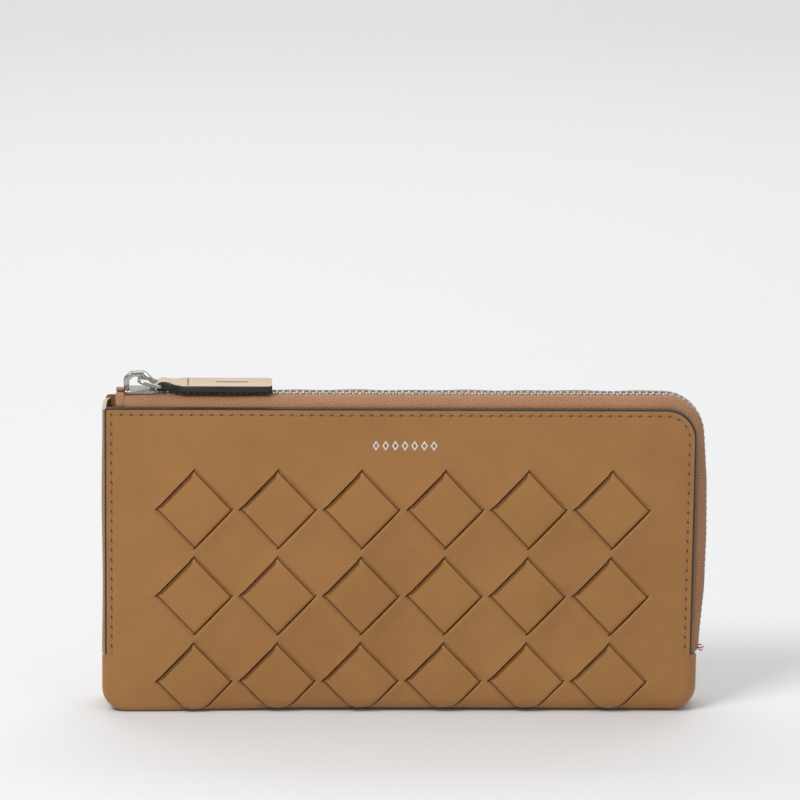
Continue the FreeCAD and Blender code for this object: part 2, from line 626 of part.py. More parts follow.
# the pull is one strap of leather folded round the ring, with a slight gap between its layers
pull = new_body("leather_pull")
fold_in = "(ring_wire + ring_play)"
fold_out = "(ring_wire + ring_play + pull_leather)"
layer, bar = "ring_right_z", "ring_right"
flat_x, flat_out = f"{bar} + 3.2", "(pull_gap + pull_leather)"
pull_points = [(f"{bar} - {fold_out}", f"{layer} - 0.6"), (f"{bar} - {fold_out}", f"{layer} + 0.6"),
               (f"{bar} - 0.7", f"{layer} + {fold_out}"), (f"{bar} + 0.9", f"{layer} + {fold_out}"),
               (flat_x, f"{layer} + {flat_out}"), ("pull_end", f"{layer} + {flat_out}"),
               ("pull_end", f"{layer} + pull_gap"), (f"{flat_x} - 0.4", f"{layer} + pull_gap"),
               (f"{bar} + 0.6", f"{layer} + {fold_in}"), (f"{bar} - 0.4", f"{layer} + {fold_in}"),
               (f"{bar} - {fold_in}", f"{layer} + 0.3"), (f"{bar} - {fold_in}", f"{layer} - 0.3"),
               (f"{bar} - 0.4", f"{layer} - {fold_in}"), (f"{bar} + 0.6", f"{layer} - {fold_in}"),
               (f"{flat_x} - 0.4", f"{layer} - pull_gap"), ("pull_end", f"{layer} - pull_gap"),
               ("pull_end", f"{layer} - {flat_out}"), (flat_x, f"{layer} - {flat_out}"),
               (f"{bar} + 0.9", f"{layer} - {flat_out}"), (f"{bar} - 0.7", f"{layer} - {flat_out}")]
pull.Tip = pad(pull, outline(pull, "XZ_Plane", pull_points, "-pull_half"), "2 * pull_half")
shape_of_pull = new_body("pull_plan")
neck_end, shoulder, cut = f"{bar} + 2.6", f"{bar} + 6.6", "pull_end - pull_corner"
plan_points = [(f"{bar} - 3", "-pull_neck"), (neck_end, "-pull_neck"), (shoulder, "-pull_half"),
               (cut, "-pull_half"), ("pull_end", "-pull_half + pull_corner"),
               ("pull_end", "pull_half - pull_corner"), (cut, "pull_half"), (shoulder, "pull_half"),
               (neck_end, "pull_neck"), (f"{bar} - 3", "pull_neck")]
shape_of_pull.Tip = pad(shape_of_pull, outline(shape_of_pull, "XY_Plane", plan_points, "panel_top"), "12")
keep(joined("Common", "leather_pull", pull, shape_of_pull), "leather_pull")

PULL_STITCHES = 4
seam_step, seam_thread = 2.6, (0.5, 1.9, 0.3)
seam_middle = Vector(number("ring_right + pull_seam"), 0,
                     number("ring_right_z + pull_gap + pull_leather") + seam_thread[2] / 2)
pull_thread = [block_at(seam_middle + Vector(0, (k - (PULL_STITCHES - 1) / 2) * seam_step, 0), seam_thread)
               for k in range(PULL_STITCHES)]
keep(group("pull_stitching", pull_thread), "pull_stitching")

# ---------------------------------------------------------------- coin pocket's own zip
coin_middle = number("(coin_front + coin_back) / 2")
tooth_side = number("(coin_back - coin_front) / 2 - coin_wall")
tooth_reach = tooth_side + 0.5
tooth_size = (number("tooth"), tooth_reach, 1.2)
teeth_low = number("coin_zip") - tooth_size[2] / 2
teeth_margin = 4.0
teeth_room = number("2 * coin_half") - 2.5 * teeth_margin
for side, sign in (("front", -1), ("back", 1)):
    label = f"coin_zip_tape_{side}"
    keep(box(label, coin_x, coin_walls[side], ("coin_top", "coin_zip + 0.4")), label)
    first = number("-coin_half") + teeth_margin + (number("tooth_pitch") / 2 if side == "back" else 0.0)
    teeth = []
    for k in range(int(teeth_room // number("tooth_pitch"))):
        spot = Vector(first + k * number("tooth_pitch"), coin_middle + sign * (tooth_side - tooth_reach / 2),
                      teeth_low)
        teeth.append(block_at(spot, tooth_size))
    keep(group(f"coin_zip_teeth_{side}", teeth), f"coin_zip_teeth_{side}")

# the coin slider: a roof with a cheek down each side, and an eye of two posts and a bar on top
coin_long, cheek = number("coin_slider_long"), number("coin_cheek")
cast_middle = Vector(number("coin_slider_from + coin_slider_long / 2"), coin_middle, number("coin_zip"))
roof_rise, cheek_drop, cheek_high = 0.95, 0.4, 2.2
roof = block_at(cast_middle + Vector(0, 0, roof_rise), (coin_long, number("2 * coin_slider_half"), cheek))
cheek_y = number("coin_slider_half - coin_cheek / 2")
cheeks = [block_at(cast_middle + Vector(0, sign * cheek_y, -cheek_drop), (coin_long, cheek, cheek_high))
          for sign in (-1, 1)]
eye = Vector(0, 0, number("coin_eye"))
eye_wide, eye_reach, eye_rise = 1.8, coin_long / 2 - 1.2, 1.1
posts = [block_at(cast_middle + eye + Vector(sign * eye_reach, 0, 0), (0.9, eye_wide, 1.6))
         for sign in (-1, 1)]
eye_bar = block_at(cast_middle + eye + Vector(0, 0, eye_rise), (coin_long - 1.5, eye_wide, 0.7))
coin_slider = doc.addObject("Part::Feature", "coin_slider_cast")
coin_slider.Shape = roof.multiFuse(cheeks + posts + [eye_bar]).removeSplitter()
keep(coin_slider, "coin_slider")

# its tab, a flat bar with a window that hangs in the eye
tab_axis = cast_middle + eye
tab_long, tab_wide, tab_thick = number("tab_long"), number("tab_wide"), number("tab_thick")
tab = Part.makeBox(tab_long, tab_wide, tab_thick, tab_axis - Vector(tab_thick, tab_wide, tab_thick) / 2)
window_wide = 2.4
window = Part.makeBox(number("tab_window"), window_wide, tab_wide,
                      tab_axis + Vector(tab_thick / 2, -window_wide / 2, -tab_wide / 2))
coin_pull = doc.addObject("Part::Feature", "coin_pull_tab")
coin_pull.Shape = tab.cut(window)
keep(coin_pull, "coin_pull")

# ---------------------------------------------------------------- check and write
doc.recompute()
for thing in doc.Objects:
    if "Invalid" in thing.State or "Error" in thing.State:
        raise RuntimeError(f"{thing.Label} failed: {thing.State}")
os.makedirs("parts", exist_ok=True)
for thing in nodes:
    shape = thing.Shape
    if shape.isNull() or not shape.isValid() or not shape.Solids:
        raise RuntimeError(f"{thing.Label} has no valid solid")
    shape.exportStep(f"parts/{thing.Label}.step")
    print(f"{thing.Label:24s} solids {len(shape.Solids):4d}  volume {shape.Volume:10.1f}")
print(len(nodes), "nodes")
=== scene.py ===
"""Looks of a long zip wallet with a woven front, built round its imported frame.

The frame's coordinates are kept: X along the wallet, the woven front faces -Y, +Z is up.
Sizes are in millimetres and turned into metres by MM where a mesh is made. Only the materials,
the studio, the lights and the camera are in metres from the start.
"""
import bmesh
import bpy
import math
import random
from mathutils import Matrix, Vector
from mathutils.geometry import delaunay_2d_cdt


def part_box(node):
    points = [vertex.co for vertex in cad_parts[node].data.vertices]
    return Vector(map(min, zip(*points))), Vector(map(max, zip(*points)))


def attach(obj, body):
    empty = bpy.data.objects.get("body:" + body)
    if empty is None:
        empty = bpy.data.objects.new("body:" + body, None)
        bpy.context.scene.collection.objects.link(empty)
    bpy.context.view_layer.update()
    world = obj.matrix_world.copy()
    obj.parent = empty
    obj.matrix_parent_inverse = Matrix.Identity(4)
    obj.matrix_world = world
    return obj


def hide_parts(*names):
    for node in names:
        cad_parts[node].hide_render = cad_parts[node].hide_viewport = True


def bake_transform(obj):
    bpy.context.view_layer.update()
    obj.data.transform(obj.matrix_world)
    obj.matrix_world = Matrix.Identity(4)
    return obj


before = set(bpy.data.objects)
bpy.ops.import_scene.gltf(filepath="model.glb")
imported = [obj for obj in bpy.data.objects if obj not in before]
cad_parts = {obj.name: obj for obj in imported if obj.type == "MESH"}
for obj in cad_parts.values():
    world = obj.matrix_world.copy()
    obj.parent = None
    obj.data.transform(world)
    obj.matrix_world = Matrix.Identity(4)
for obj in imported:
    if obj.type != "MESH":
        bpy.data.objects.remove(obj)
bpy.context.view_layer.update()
MM = 0.001
random.seed(7)


def low_high(node):
    """A node's lowest and highest corners, in millimetres."""
    low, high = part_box(node)
    return low / MM, high / MM


# ---------------------------------------------------------------- sizes read from the frame
panel_low, panel_high = low_high("front_panel")
wrap_high = low_high("base_wrap")[1]
tape_low, tape_high = low_high("zip_tape_front")
ring_low, ring_high = low_high("pull_ring")
pull_high = low_high("leather_pull")[1]
teeth_low = low_high("zip_teeth_front")[0]

HALF = panel_high.x                         # half length of a leather panel
TOP = panel_high.z                          # height of its top edge
FACE = -panel_low.y                         # its outer face, from the middle plane
LEATHER = panel_high.y - panel_low.y        # its thickness
INNER = FACE - LEATHER                      # its inner face
WRAP_TOP = wrap_high.z                      # top of the wrapped ends
RIDGE = tape_high.z - 0.25                  # the line the zip's teeth stand on

# ---------------------------------------------------------------- sizes taken from the photo
CORNER_TOP, CORNER_LOW, CORNER_LEFT = 10.0, 8.0, 1.2    # corner radii: top right, lower, top left
END_BULGE = wrap_high.x - HALF
BULGE_LEFT, BULGE_RIGHT = 0.6 * END_BULGE, END_BULGE + 0.5
SHOULDER = 1.1                              # height over which a wrapped end steps out
COLUMNS, ROWS = 6, 3
COLUMN_PITCH, ROW_PITCH = 26.9, 28.7
FIRST_COLUMN, FIRST_ROW = -66.3, 67.7       # centre of the upper left diamond
DIAMOND_HALF_X, DIAMOND_HALF_Z = 12.2, 12.95
STITCH_PITCH, STITCH_INSET, STITCH_LOW = 3.17, 2.2, 19.0


# ---------------------------------------------------------------- materials
def new_material(name):
    """A material, its tree and shader, and coordinates in metres that stay with the piece."""
    material = bpy.data.materials.new(name)
    material.use_nodes = True
    tree = material.node_tree
    place = tree.nodes.new("ShaderNodeTexCoord").outputs["Object"]
    return material, tree, tree.nodes["Principled BSDF"], place


def put(node, **values):
    """Sets a node's properties and input values."""
    for key, value in values.items():
        if hasattr(node, key):
            setattr(node, key, value)
        else:
            node.inputs[key.replace("_", " ")].default_value = value
    return node


def textured(tree, place, kind, **values):
    """A texture node laid out over a place."""
    node = put(tree.nodes.new(kind), **values)
    tree.links.new(place, node.inputs["Vector"])
    return node


def noise(tree, place, scale, detail=4.0, roughness=0.55, distortion=0.0):
    return textured(tree, place, "ShaderNodeTexNoise", Scale=scale, Detail=detail,
                    Roughness=roughness, Distortion=distortion).outputs["Fac"]


def ramp(tree, source, stops, target):
    """Feeds a socket through a colour ramp, with stops of (position, colour or grey level)."""
    node = tree.nodes.new("ShaderNodeValToRGB")
    while len(node.color_ramp.elements) < len(stops):
        node.color_ramp.elements.new(0.5)
    for element, (position, colour) in zip(node.color_ramp.elements, stops):
        element.position = position
        element.color = (*(colour if isinstance(colour, tuple) else (colour,) * 3), 1.0)
    tree.links.new(source, node.inputs["Fac"])
    tree.links.new(node.outputs["Color"], target)


def maths(tree, operation, first, second=0.0):
    node = tree.nodes.new("ShaderNodeMath")
    node.operation = operation
    for socket, value in zip(node.inputs, (first, second)):
        if isinstance(value, (int, float)):
            socket.default_value = value
        else:
            tree.links.new(value, socket)
    return node.outputs[0]


def weighted(tree, *terms):
    """The sum of values times their weights."""
    total = 0.0
    for value, weight in terms:
        total = maths(tree, "ADD", maths(tree, "MULTIPLY", value, weight), total)
    return total


def ribs(tree, along, pitch):
    """A wave that repeats by a pitch in metres."""
    return maths(tree, "SINE", maths(tree, "MULTIPLY", along, 2 * math.pi / pitch))


def bump(tree, shader, layers):
    """Chained bumps, each (height, distance in metres, strength)."""
    normal = None
    for height, distance, strength in layers:
        node = put(tree.nodes.new("ShaderNodeBump"), Strength=strength, Distance=distance)
        tree.links.new(height, node.inputs["Height"])
        if normal is not None:
            tree.links.new(normal, node.inputs["Normal"])
        normal = node.outputs["Normal"]
    tree.links.new(normal, shader.inputs["Normal"])


def leather(name, base, deep, light, gloss=0.5, grain=1.0):
    """Smooth calf: cloudy dye, fine pores and creases, a soft satin finish."""
    material, tree, shader, place = new_material(name)
    cloud = noise(tree, place, 28.0, 5.0, 0.6, 0.4)
    speck = noise(tree, place, 1400.0, 3.0, 0.6)
    scuff = noise(tree, place, 130.0, 6.0, 0.7, 0.2)
    creases = noise(tree, place, 420.0, 6.0, 0.65, 0.8)
    pores = textured(tree, place, "ShaderNodeTexVoronoi", feature="DISTANCE_TO_EDGE", Scale=1500.0)
    dye = weighted(tree, (cloud, 0.55), (speck, 0.2), (scuff, 0.25))
    ramp(tree, dye, [(0.3, deep), (0.5, base), (0.72, light)], shader.inputs["Base Color"])
    ramp(tree, creases, [(0.3, gloss - 0.07), (0.7, gloss + 0.09)], shader.inputs["Roughness"])
    bump(tree, shader, [(cloud, 0.0006, 0.25), (creases, 0.00008, 0.35 * grain),
                        (pores.outputs["Distance"], 0.00005, 0.3 * grain)])
    put(shader, Specular_IOR_Level=0.35, Sheen_Weight=0.06, Sheen_Roughness=0.5)
    return material


def edge_paint_and_hole_shade(name, dark, worn):
    """Edge paint: nearly black, slightly uneven and half glossy. Also serves, in dark brown, as the
    painted shade in needle holes and cuts.
    """
    material, tree, shader, place = new_material(name)
    patch = noise(tree, place, 260.0, 4.0)
    ramp(tree, patch, [(0.35, dark), (0.75, worn)], shader.inputs["Base Color"])
    ramp(tree, patch, [(0.3, 0.36), (0.7, 0.55)], shader.inputs["Roughness"])
    bump(tree, shader, [(patch, 0.0001, 0.5)])
    return material


def twill(name, base, deep, light, pitch=0.00095, band=0.0027):
    """Herringbone tape: slanted ribs whose slope turns over from band to band, read from the
    mesh's own run along and across the cloth, in metres, where it has one."""
    material, tree, shader, place = new_material(name)
    run = put(tree.nodes.new("ShaderNodeAttribute"), attribute_name="run").outputs["Vector"]
    split = textured(tree, run, "ShaderNodeSeparateXYZ")
    fold = maths(tree, "PINGPONG", split.outputs["Y"], band)
    slanted = weighted(tree, (split.outputs["X"], 1.0), (fold, 0.8))
    height = weighted(tree, (ribs(tree, slanted, pitch), 0.36),
                      (ribs(tree, split.outputs["Y"], pitch * 0.45), 0.08),
                      (noise(tree, place, 900.0, 3.0), 0.25), (noise(tree, place, 60.0, 3.0), 0.25))
    height = maths(tree, "ADD", height, 0.28)
    # colour follows the ribs' height: grooves painted darker and crests lighter, painted shade and
    # highlight of the weave, over a random tone
    ramp(tree, height, [(0.22, deep), (0.55, base), (0.95, light)], shader.inputs["Base Color"])
    bump(tree, shader, [(height, 0.00028, 0.9)])
    put(shader, Roughness=0.75, Sheen_Weight=0.12, Sheen_Roughness=0.4)
    return material


def cloth(name, base, deep, light):
    """Fine twill lining with slanted ribs."""
    material, tree, shader, place = new_material(name)
    split = textured(tree, place, "ShaderNodeSeparateXYZ")
    slanted = maths(tree, "ADD", split.outputs["X"], split.outputs["Z"])
    height = weighted(tree, (ribs(tree, slanted, 0.0007), 0.3),
                      (noise(tree, place, 700.0, 3.0), 1.0))
    # colour follows the relief: partly a random tone, partly painted shade in the rib grooves and
    # painted highlight on their crests
    ramp(tree, height, [(0.2, deep), (0.55, base), (0.9, light)], shader.inputs["Base Color"])
    bump(tree, shader, [(height, 0.00012, 0.6)])
    put(shader, Roughness=0.8)
    return material


def metal(name, colour, rough=0.16):
    """Bright nickel with fine polishing marks and faint smears."""
    material, tree, shader, place = new_material(name)
    smear = noise(tree, place, 350.0, 4.0, 0.6, 0.5)
    dull = tuple(c * 0.86 for c in colour)
    ramp(tree, smear, [(0.3, dull), (0.7, colour)], shader.inputs["Base Color"])
    ramp(tree, smear, [(0.3, rough), (0.75, rough + 0.16)], shader.inputs["Roughness"])
    bump(tree, shader, [(smear, 0.00004, 0.35)])
    put(shader, Metallic=1.0)
    return material


def twisted_thread(name, base, deep):
    """Waxed thread: fine slanted plies."""
    material, tree, shader, place = new_material(name)
    ply = textured(tree, place, "ShaderNodeTexWave", Scale=900.0, Distortion=1.5).outputs["Fac"]
    # colour follows the plies: the grooves between them are painted darker, painted shade
    ramp(tree, ply, [(0.2, deep), (0.7, base)], shader.inputs["Base Color"])
    bump(tree, shader, [(ply, 0.00008, 0.6)])
    put(shader, Roughness=0.6)
    return material


def pale(name, grey):
    """Matt paper or board, with faint fibres."""
    material, tree, shader, place = new_material(name)
    fibre = noise(tree, place, 600.0, 5.0)
    shade = tuple(c * 0.97 for c in grey)
    ramp(tree, fibre, [(0.3, shade), (0.7, grey)], shader.inputs["Base Color"])
    bump(tree, shader, [(fibre, 0.00005, 0.2)])
    put(shader, Roughness=0.85)
    return material


TAN = leather("tan_calf", (0.350, 0.164, 0.047), (0.300, 0.137, 0.037), (0.395, 0.191, 0.058))
STRAP_TAN = leather("strap_calf", (0.350, 0.165, 0.046), (0.302, 0.138, 0.036),
                    (0.392, 0.191, 0.057))
# dark brown for cut leather edges, darkened further as painted shade in the slits and along the
# straps' sides
RAW_EDGE_AND_SHADE = leather("cut_calf_and_painted_shade", (0.135, 0.052, 0.011), (0.095, 0.036, 0.008), (0.18, 0.075, 0.02),
                   0.7)
PULL_TAN = leather("pull_calf", (0.58, 0.45, 0.32), (0.50, 0.37, 0.25), (0.66, 0.53, 0.40), 0.40)
SLOT_TAN = leather("slot_calf", (0.31, 0.16, 0.064), (0.27, 0.135, 0.052), (0.35, 0.19, 0.08), 0.5,
                   1.3)
EDGE = edge_paint_and_hole_shade("edge_paint", (0.012, 0.011, 0.011), (0.026, 0.024, 0.024))
# dark brown discs and rods laid over the leather as painted shade of the needle holes and of the
# pull's cut
HOLE_SHADE = edge_paint_and_hole_shade("needle_hole_shade", (0.070, 0.026, 0.007), (0.11, 0.042, 0.012))
TAPE = twill("zip_twill", (0.41, 0.195, 0.088), (0.245, 0.098, 0.040), (0.52, 0.285, 0.145))
LINING = cloth("lining_twill", (0.20, 0.115, 0.062), (0.14, 0.078, 0.042), (0.25, 0.15, 0.085))
COIN_TAPE = cloth("coin_twill", (0.33, 0.15, 0.075), (0.22, 0.09, 0.042), (0.42, 0.21, 0.11))
NICKEL = metal("nickel", (0.50, 0.49, 0.455), 0.2)
TEETH = metal("teeth_nickel", (0.58, 0.57, 0.53), 0.24)
FOIL = metal("silver_foil", (0.86, 0.86, 0.86), 0.28)
THREAD = twisted_thread("waxed_thread", (0.37, 0.185, 0.075), (0.25, 0.115, 0.042))
FRAYED = twisted_thread("frayed_thread", (0.42, 0.11, 0.10), (0.30, 0.07, 0.065))
BOARD = pale("bonded_board", (0.42, 0.34, 0.25))
PAPER = pale("studio_paper", (0.800, 0.802, 0.810))


# ---------------------------------------------------------------- mesh helpers
def piece(name, vertices, faces, materials, indices=None, smooth=True):
    """A mesh object from vertices in millimetres."""
    mesh = bpy.data.meshes.new(name)
    mesh.from_pydata([Vector(v) * MM for v in vertices], [], faces)
    for material in materials:
        mesh.materials.append(material)
    if indices:
        mesh.polygons.foreach_set("material_index", indices)
    mesh.polygons.foreach_set("use_smooth", [smooth] * len(mesh.polygons))
    mesh.validate()
    mesh.update()
    thing = bpy.data.objects.new(name, mesh)
    bpy.context.scene.collection.objects.link(thing)
    return thing


def tidy_normals(thing, weld=1e-6):
    """Welds doubles and turns every face outwards."""
    mesh = bmesh.new()
    mesh.from_mesh(thing.data)
    bmesh.ops.remove_doubles(mesh, verts=mesh.verts, dist=weld)
    bmesh.ops.recalc_face_normals(mesh, faces=mesh.faces)
    mesh.to_mesh(thing.data)
    mesh.free()


def bake_modifiers(thing):
    """Applies a piece's modifiers, so that its mesh is final."""
    bpy.context.view_layer.update()
    shown = thing.evaluated_get(bpy.context.evaluated_depsgraph_get())
    mesh = bpy.data.meshes.new_from_object(shown)
    thing.modifiers.clear()
    thing.data = mesh
    return thing


def settle(thing, body, slot, *replaced):
    """Puts a piece on a body and hides the nodes it stands for; the material slot it is given is
    not used.
    """
    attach(thing, body)
    if replaced:
        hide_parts(*replaced)
    return thing


def refined(node, name, body, slot, material, width, segments=3):
    """A copy of a node's shape with softened edges and its own material."""
    thing = bpy.data.objects.new(name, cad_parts[node].data.copy())
    bpy.context.scene.collection.objects.link(thing)
    tidy_normals(thing, 1e-5)
    thing.data.materials.clear()
    thing.data.materials.append(material)
    soften = thing.modifiers.new("soften", "BEVEL")
    soften.width = width * MM
    soften.segments = segments
    soften.limit_method = "ANGLE"
    soften.angle_limit = math.radians(35)
    bake_modifiers(thing)
    thing.data.polygons.foreach_set("use_smooth", [True] * len(thing.data.polygons))
    return settle(thing, body, slot, node)


def sharpen(thing, degrees=42):
    """Keeps edges crisp where the surface turns by more than an angle."""
    mesh = bmesh.new()
    mesh.from_mesh(thing.data)
    for edge in mesh.edges:
        turned = len(edge.link_faces) == 2 and edge.calc_face_angle(0.0) > math.radians(degrees)
        edge.smooth = not turned
    mesh.to_mesh(thing.data)
    mesh.free()


def smoothstep(value):
    value = min(max(value, 0.0), 1.0)
    return value * value * (3 - 2 * value)


# ---------------------------------------------------------------- outline of the leather panels
def corner_radius(x, z):
    """Radius of the corner nearest to a place on the panel."""
    if z < TOP / 2:
        return CORNER_LOW
    return CORNER_TOP if x > 0 else CORNER_LEFT


def wrapped(z):
    """Whether a height is within the wrapped ends."""
    return z <= WRAP_TOP + 0.005


def end_reach(x, z):
    """Half length at a height: the wrapped ends stand out past the panels, the right one more."""
    bulge = BULGE_RIGHT if x > 0 else BULGE_LEFT
    return HALF + bulge * smoothstep((WRAP_TOP + 0.01 - z) / SHOULDER)


def edge_distance(x, z):
    """How far a place lies inside the panel's outline."""
    radius = corner_radius(x, z)
    in_x, in_z = end_reach(x, z) - abs(x), min(z, TOP - z)
    if in_x < radius and in_z < radius:
        return radius - math.hypot(radius - in_x, radius - in_z)
    return min(in_x, in_z)


def contour(inset):
    """The outline moved inwards, anticlockwise from its lower left, always as many points."""
    points = []
    low, high, above = inset, TOP - inset, WRAP_TOP + 0.02
    left_foot, right_foot = CORNER_LOW - HALF - BULGE_LEFT, HALF + BULGE_RIGHT - CORNER_LOW
    left_top, right_top = CORNER_LEFT - HALF, HALF - CORNER_TOP

    def run(start, end, count):
        for k in range(count):
            points.append(tuple(a + (b - a) * k / count for a, b in zip(start, end)))

    def flank(side, start, end, count):
        """Up or down one end, following its bulge."""
        for k in range(count):
            z = start + (end - start) * k / count
            points.append((side * (end_reach(side, z) - inset), z))

    def turn(centre_x, centre_z, radius, first):
        radius = max(radius - inset, 0.05)
        for k in range(10):
            angle = math.radians(first + 9 * k)
            points.append((centre_x + radius * math.cos(angle),
                           centre_z + radius * math.sin(angle)))

    run((left_foot, low), (right_foot, low), 84)
    turn(right_foot, CORNER_LOW, CORNER_LOW, -90)
    flank(1, CORNER_LOW, WRAP_TOP, 16)
    flank(1, WRAP_TOP, above, 1)
    flank(1, above, TOP - CORNER_TOP, 40)
    turn(right_top, TOP - CORNER_TOP, CORNER_TOP, 0)
    run((right_top, high), (left_top, high), 100)
    turn(left_top, TOP - CORNER_LEFT, CORNER_LEFT, 90)
    flank(-1, TOP - CORNER_LEFT, above, 44)
    flank(-1, above, WRAP_TOP, 1)
    flank(-1, WRAP_TOP, CORNER_LOW, 16)
    turn(left_foot, CORNER_LOW, CORNER_LOW, 180)
    return points


# ---------------------------------------------------------------- the weave
KNEE, TUCKED = 2.6, 0.5     # below KNEE heights are drawn together, down to TUCKED


def squeeze(z):
    """Heights near the floor are drawn together, where the lowest diamonds turn under."""
    soft = KNEE - TUCKED
    return z if z > KNEE else TUCKED + soft * math.exp((z - KNEE) / soft)


def stretch(z):
    """The height that squeeze() turns into this one."""
    soft = KNEE - TUCKED
    return z if z > KNEE else KNEE + soft * math.log(max(z - TUCKED, 1e-3) / soft)


def diamond_place(column, row, s, t):
    """A place on a diamond: s runs from its upper left side to its lower right, t along them."""
    centre_x = FIRST_COLUMN + column * COLUMN_PITCH
    centre_z = FIRST_ROW - row * ROW_PITCH
    return centre_x + (t + s - 1) * DIAMOND_HALF_X, centre_z + (t - s) * DIAMOND_HALF_Z


DIAMOND_SIDE = math.hypot(DIAMOND_HALF_X, DIAMOND_HALF_Z)
SLIT_HALF, SLIT_OVER = 0.30, 0.35       # a slit's half width, and how far it passes its strap
LIP_UP, LIP_DOWN = 0.90, 1.05           # the panel's rise over a strap, above and below a diamond
LIP_TURN = 0.62                         # how far the lower lip's edge turns down again
STRAP_TOP, CREASE = 0.74, 0.50          # a strap's height, and how deep its sides press in
SLITS = [(column, row, end) for column in range(COLUMNS) for row in range(ROWS) for end in (0, 1)]


def slit_width(u):
    """Half width of a slit at a share of its length: parallel sides and small round ends."""
    return SLIT_HALF * (0.5 + 0.5 * max(math.sin(math.pi * u), 0.0) ** 0.35)


def slit_loop(column, row, end, margin):
    """Outline of a slit, widened by a margin, as places before squeezing."""
    way = -1 if end == 0 else 1
    steps, over = 16, (SLIT_OVER + margin) / DIAMOND_SIDE
    loop = []
    for side in (1, -1):
        for k in range(steps + 1):
            u = k / steps if side > 0 else 1 - k / steps
            width = slit_width(u) + margin
            loop.append(diamond_place(column, row, end + side * way * width / DIAMOND_SIDE,
                                      u * (1 + 2 * over) - over))
    return loop


def slit_local(column, row, end, x, z):
    """(distance out of the diamond, share along the slit) of a place, before squeezing."""
    centre_x = FIRST_COLUMN + column * COLUMN_PITCH
    centre_z = FIRST_ROW - row * ROW_PITCH
    a, b = (x - centre_x) / DIAMOND_HALF_X, (z - centre_z) / DIAMOND_HALF_Z
    s, t = (a - b + 1) / 2, (a + b + 1) / 2
    out = (s - 1) if end else -s
    return out * DIAMOND_SIDE, t


def in_slit(x, z):
    """Whether a place on the woven panel lies in one of its slits."""
    over = SLIT_OVER / DIAMOND_SIDE
    for column, row, end in SLITS:
        out, t = slit_local(column, row, end, x, stretch(z))
        u = (t + over) / (1 + 2 * over)
        if 0 <= u <= 1 and abs(out) < slit_width(u) * 0.98:
            return True
    return False


def beside_slit(x, z):
    """Whether a place is so near to a slit that the slit's own loops mesh it."""
    return any(abs(out) < 1.5 and -0.1 < t < 1.1
               for out, t in (slit_local(*slit, x, z) for slit in SLITS))


def crease(x, z):
    """How deep a strap's side edges press into the panel."""
    depth = 0.0
    for column in range(COLUMNS):
        for row in range(ROWS):
            out, t = slit_local(column, row, 0, x, z)
            s = -out / DIAMOND_SIDE
            beside = max(-t, t - 1) * DIAMOND_SIDE
            if -0.02 < s < 1.02 and -1.0 < beside < 2.0:
                depth = max(depth, CREASE * math.exp(-((max(beside, 0.0) / 0.45) ** 2)))
    return depth


def lip_height(x, z):
    """How far the panel stands up beside a slit, where a strap runs beneath it."""
    height = 0.0
    for column, row, end in SLITS:
        out, t = slit_local(column, row, end, x, z)
        if -0.4 <= out < 12 and -0.35 < t < 1.35:
            along = smoothstep((t + 0.10) / 0.24) * smoothstep((1.10 - t) / 0.24)
            raised = LIP_UP if end == 0 else LIP_DOWN
            turned = LIP_TURN * max(1 - (out - SLIT_HALF) / 0.5, 0.0) ** 1.6 if end else 0.0
            height = max(height, (raised * math.exp(-((out / 3.4) ** 2)) - turned) * along)
    return height


# ---------------------------------------------------------------- relief of the leather panels
FRONT_LIFT, MIDDLE_LIFT, LIFT_TOP = 0.25, 0.2, 34.0     # the bottom's bow, and how high it reaches
EDGE_ROUND = 0.35                                       # rounding of the edge that is cut square
ROLL_LEFT, ROLL_MORE = 1.9, 2.5                         # roll of the wrapped ends
PAINTED = 0.6                                           # width of the edge paint on the face
CHANNEL_DEPTH, CHANNEL_WIDE = 0.16, 0.45                # the groove that the stitches lie in


def roll_radius(z, x=0.0):
    """The edge is cut square above the wrapped ends and rolls over below, least on the left."""
    roll = ROLL_LEFT + ROLL_MORE * smoothstep((x + 90.0) / 60.0)
    return EDGE_ROUND + roll * smoothstep((WRAP_TOP + 0.01 - z) / 2.0)


def roll_depth(x, z):
    """How far the face falls back towards its edge."""
    radius, inside = roll_radius(z, x), edge_distance(x, z)
    if inside >= radius:
        return 0.0
    return radius - math.sqrt(max(radius ** 2 - (radius - inside) ** 2, 0.0))


def waviness(x, z):
    """Slow unevenness of a hand-finished panel."""
    return (0.10 * math.sin(x / 21.0 + 0.6) * math.sin(z / 17.0)
            + 0.06 * math.sin(x / 8.3 + z / 11.0 + 1.1))


def floor_lift(x, z, share=1.0):
    """The bottom bows up between its ends: the front edge by its share, most from the middle on."""
    middle = MIDDLE_LIFT * (1 - min(abs(x) / HALF, 1.0) ** 2) ** 2
    front = FRONT_LIFT * smoothstep((x + 88.0) / 75.0) * (1 - 0.35 * smoothstep((x - 40.0) / 50.0))
    return (middle + front * share) * smoothstep(1 - z / LIFT_TOP)


def face_depth(x, z, woven):
    """Depth of the panel's outer face behind its nominal plane."""
    inside = edge_distance(x, z)
    channel = 0.0
    if z > STITCH_LOW - 1:
        channel = CHANNEL_DEPTH * math.exp(-((inside - STITCH_INSET) / CHANNEL_WIDE) ** 2)
    calm = smoothstep((inside - 1.0) / 6.0)
    lip = lip_height(x, z) * smoothstep((z - 2.0) / 8.0) - crease(x, z) if woven else 0.0
    return roll_depth(x, z) + channel - lip + waviness(x, z) * calm


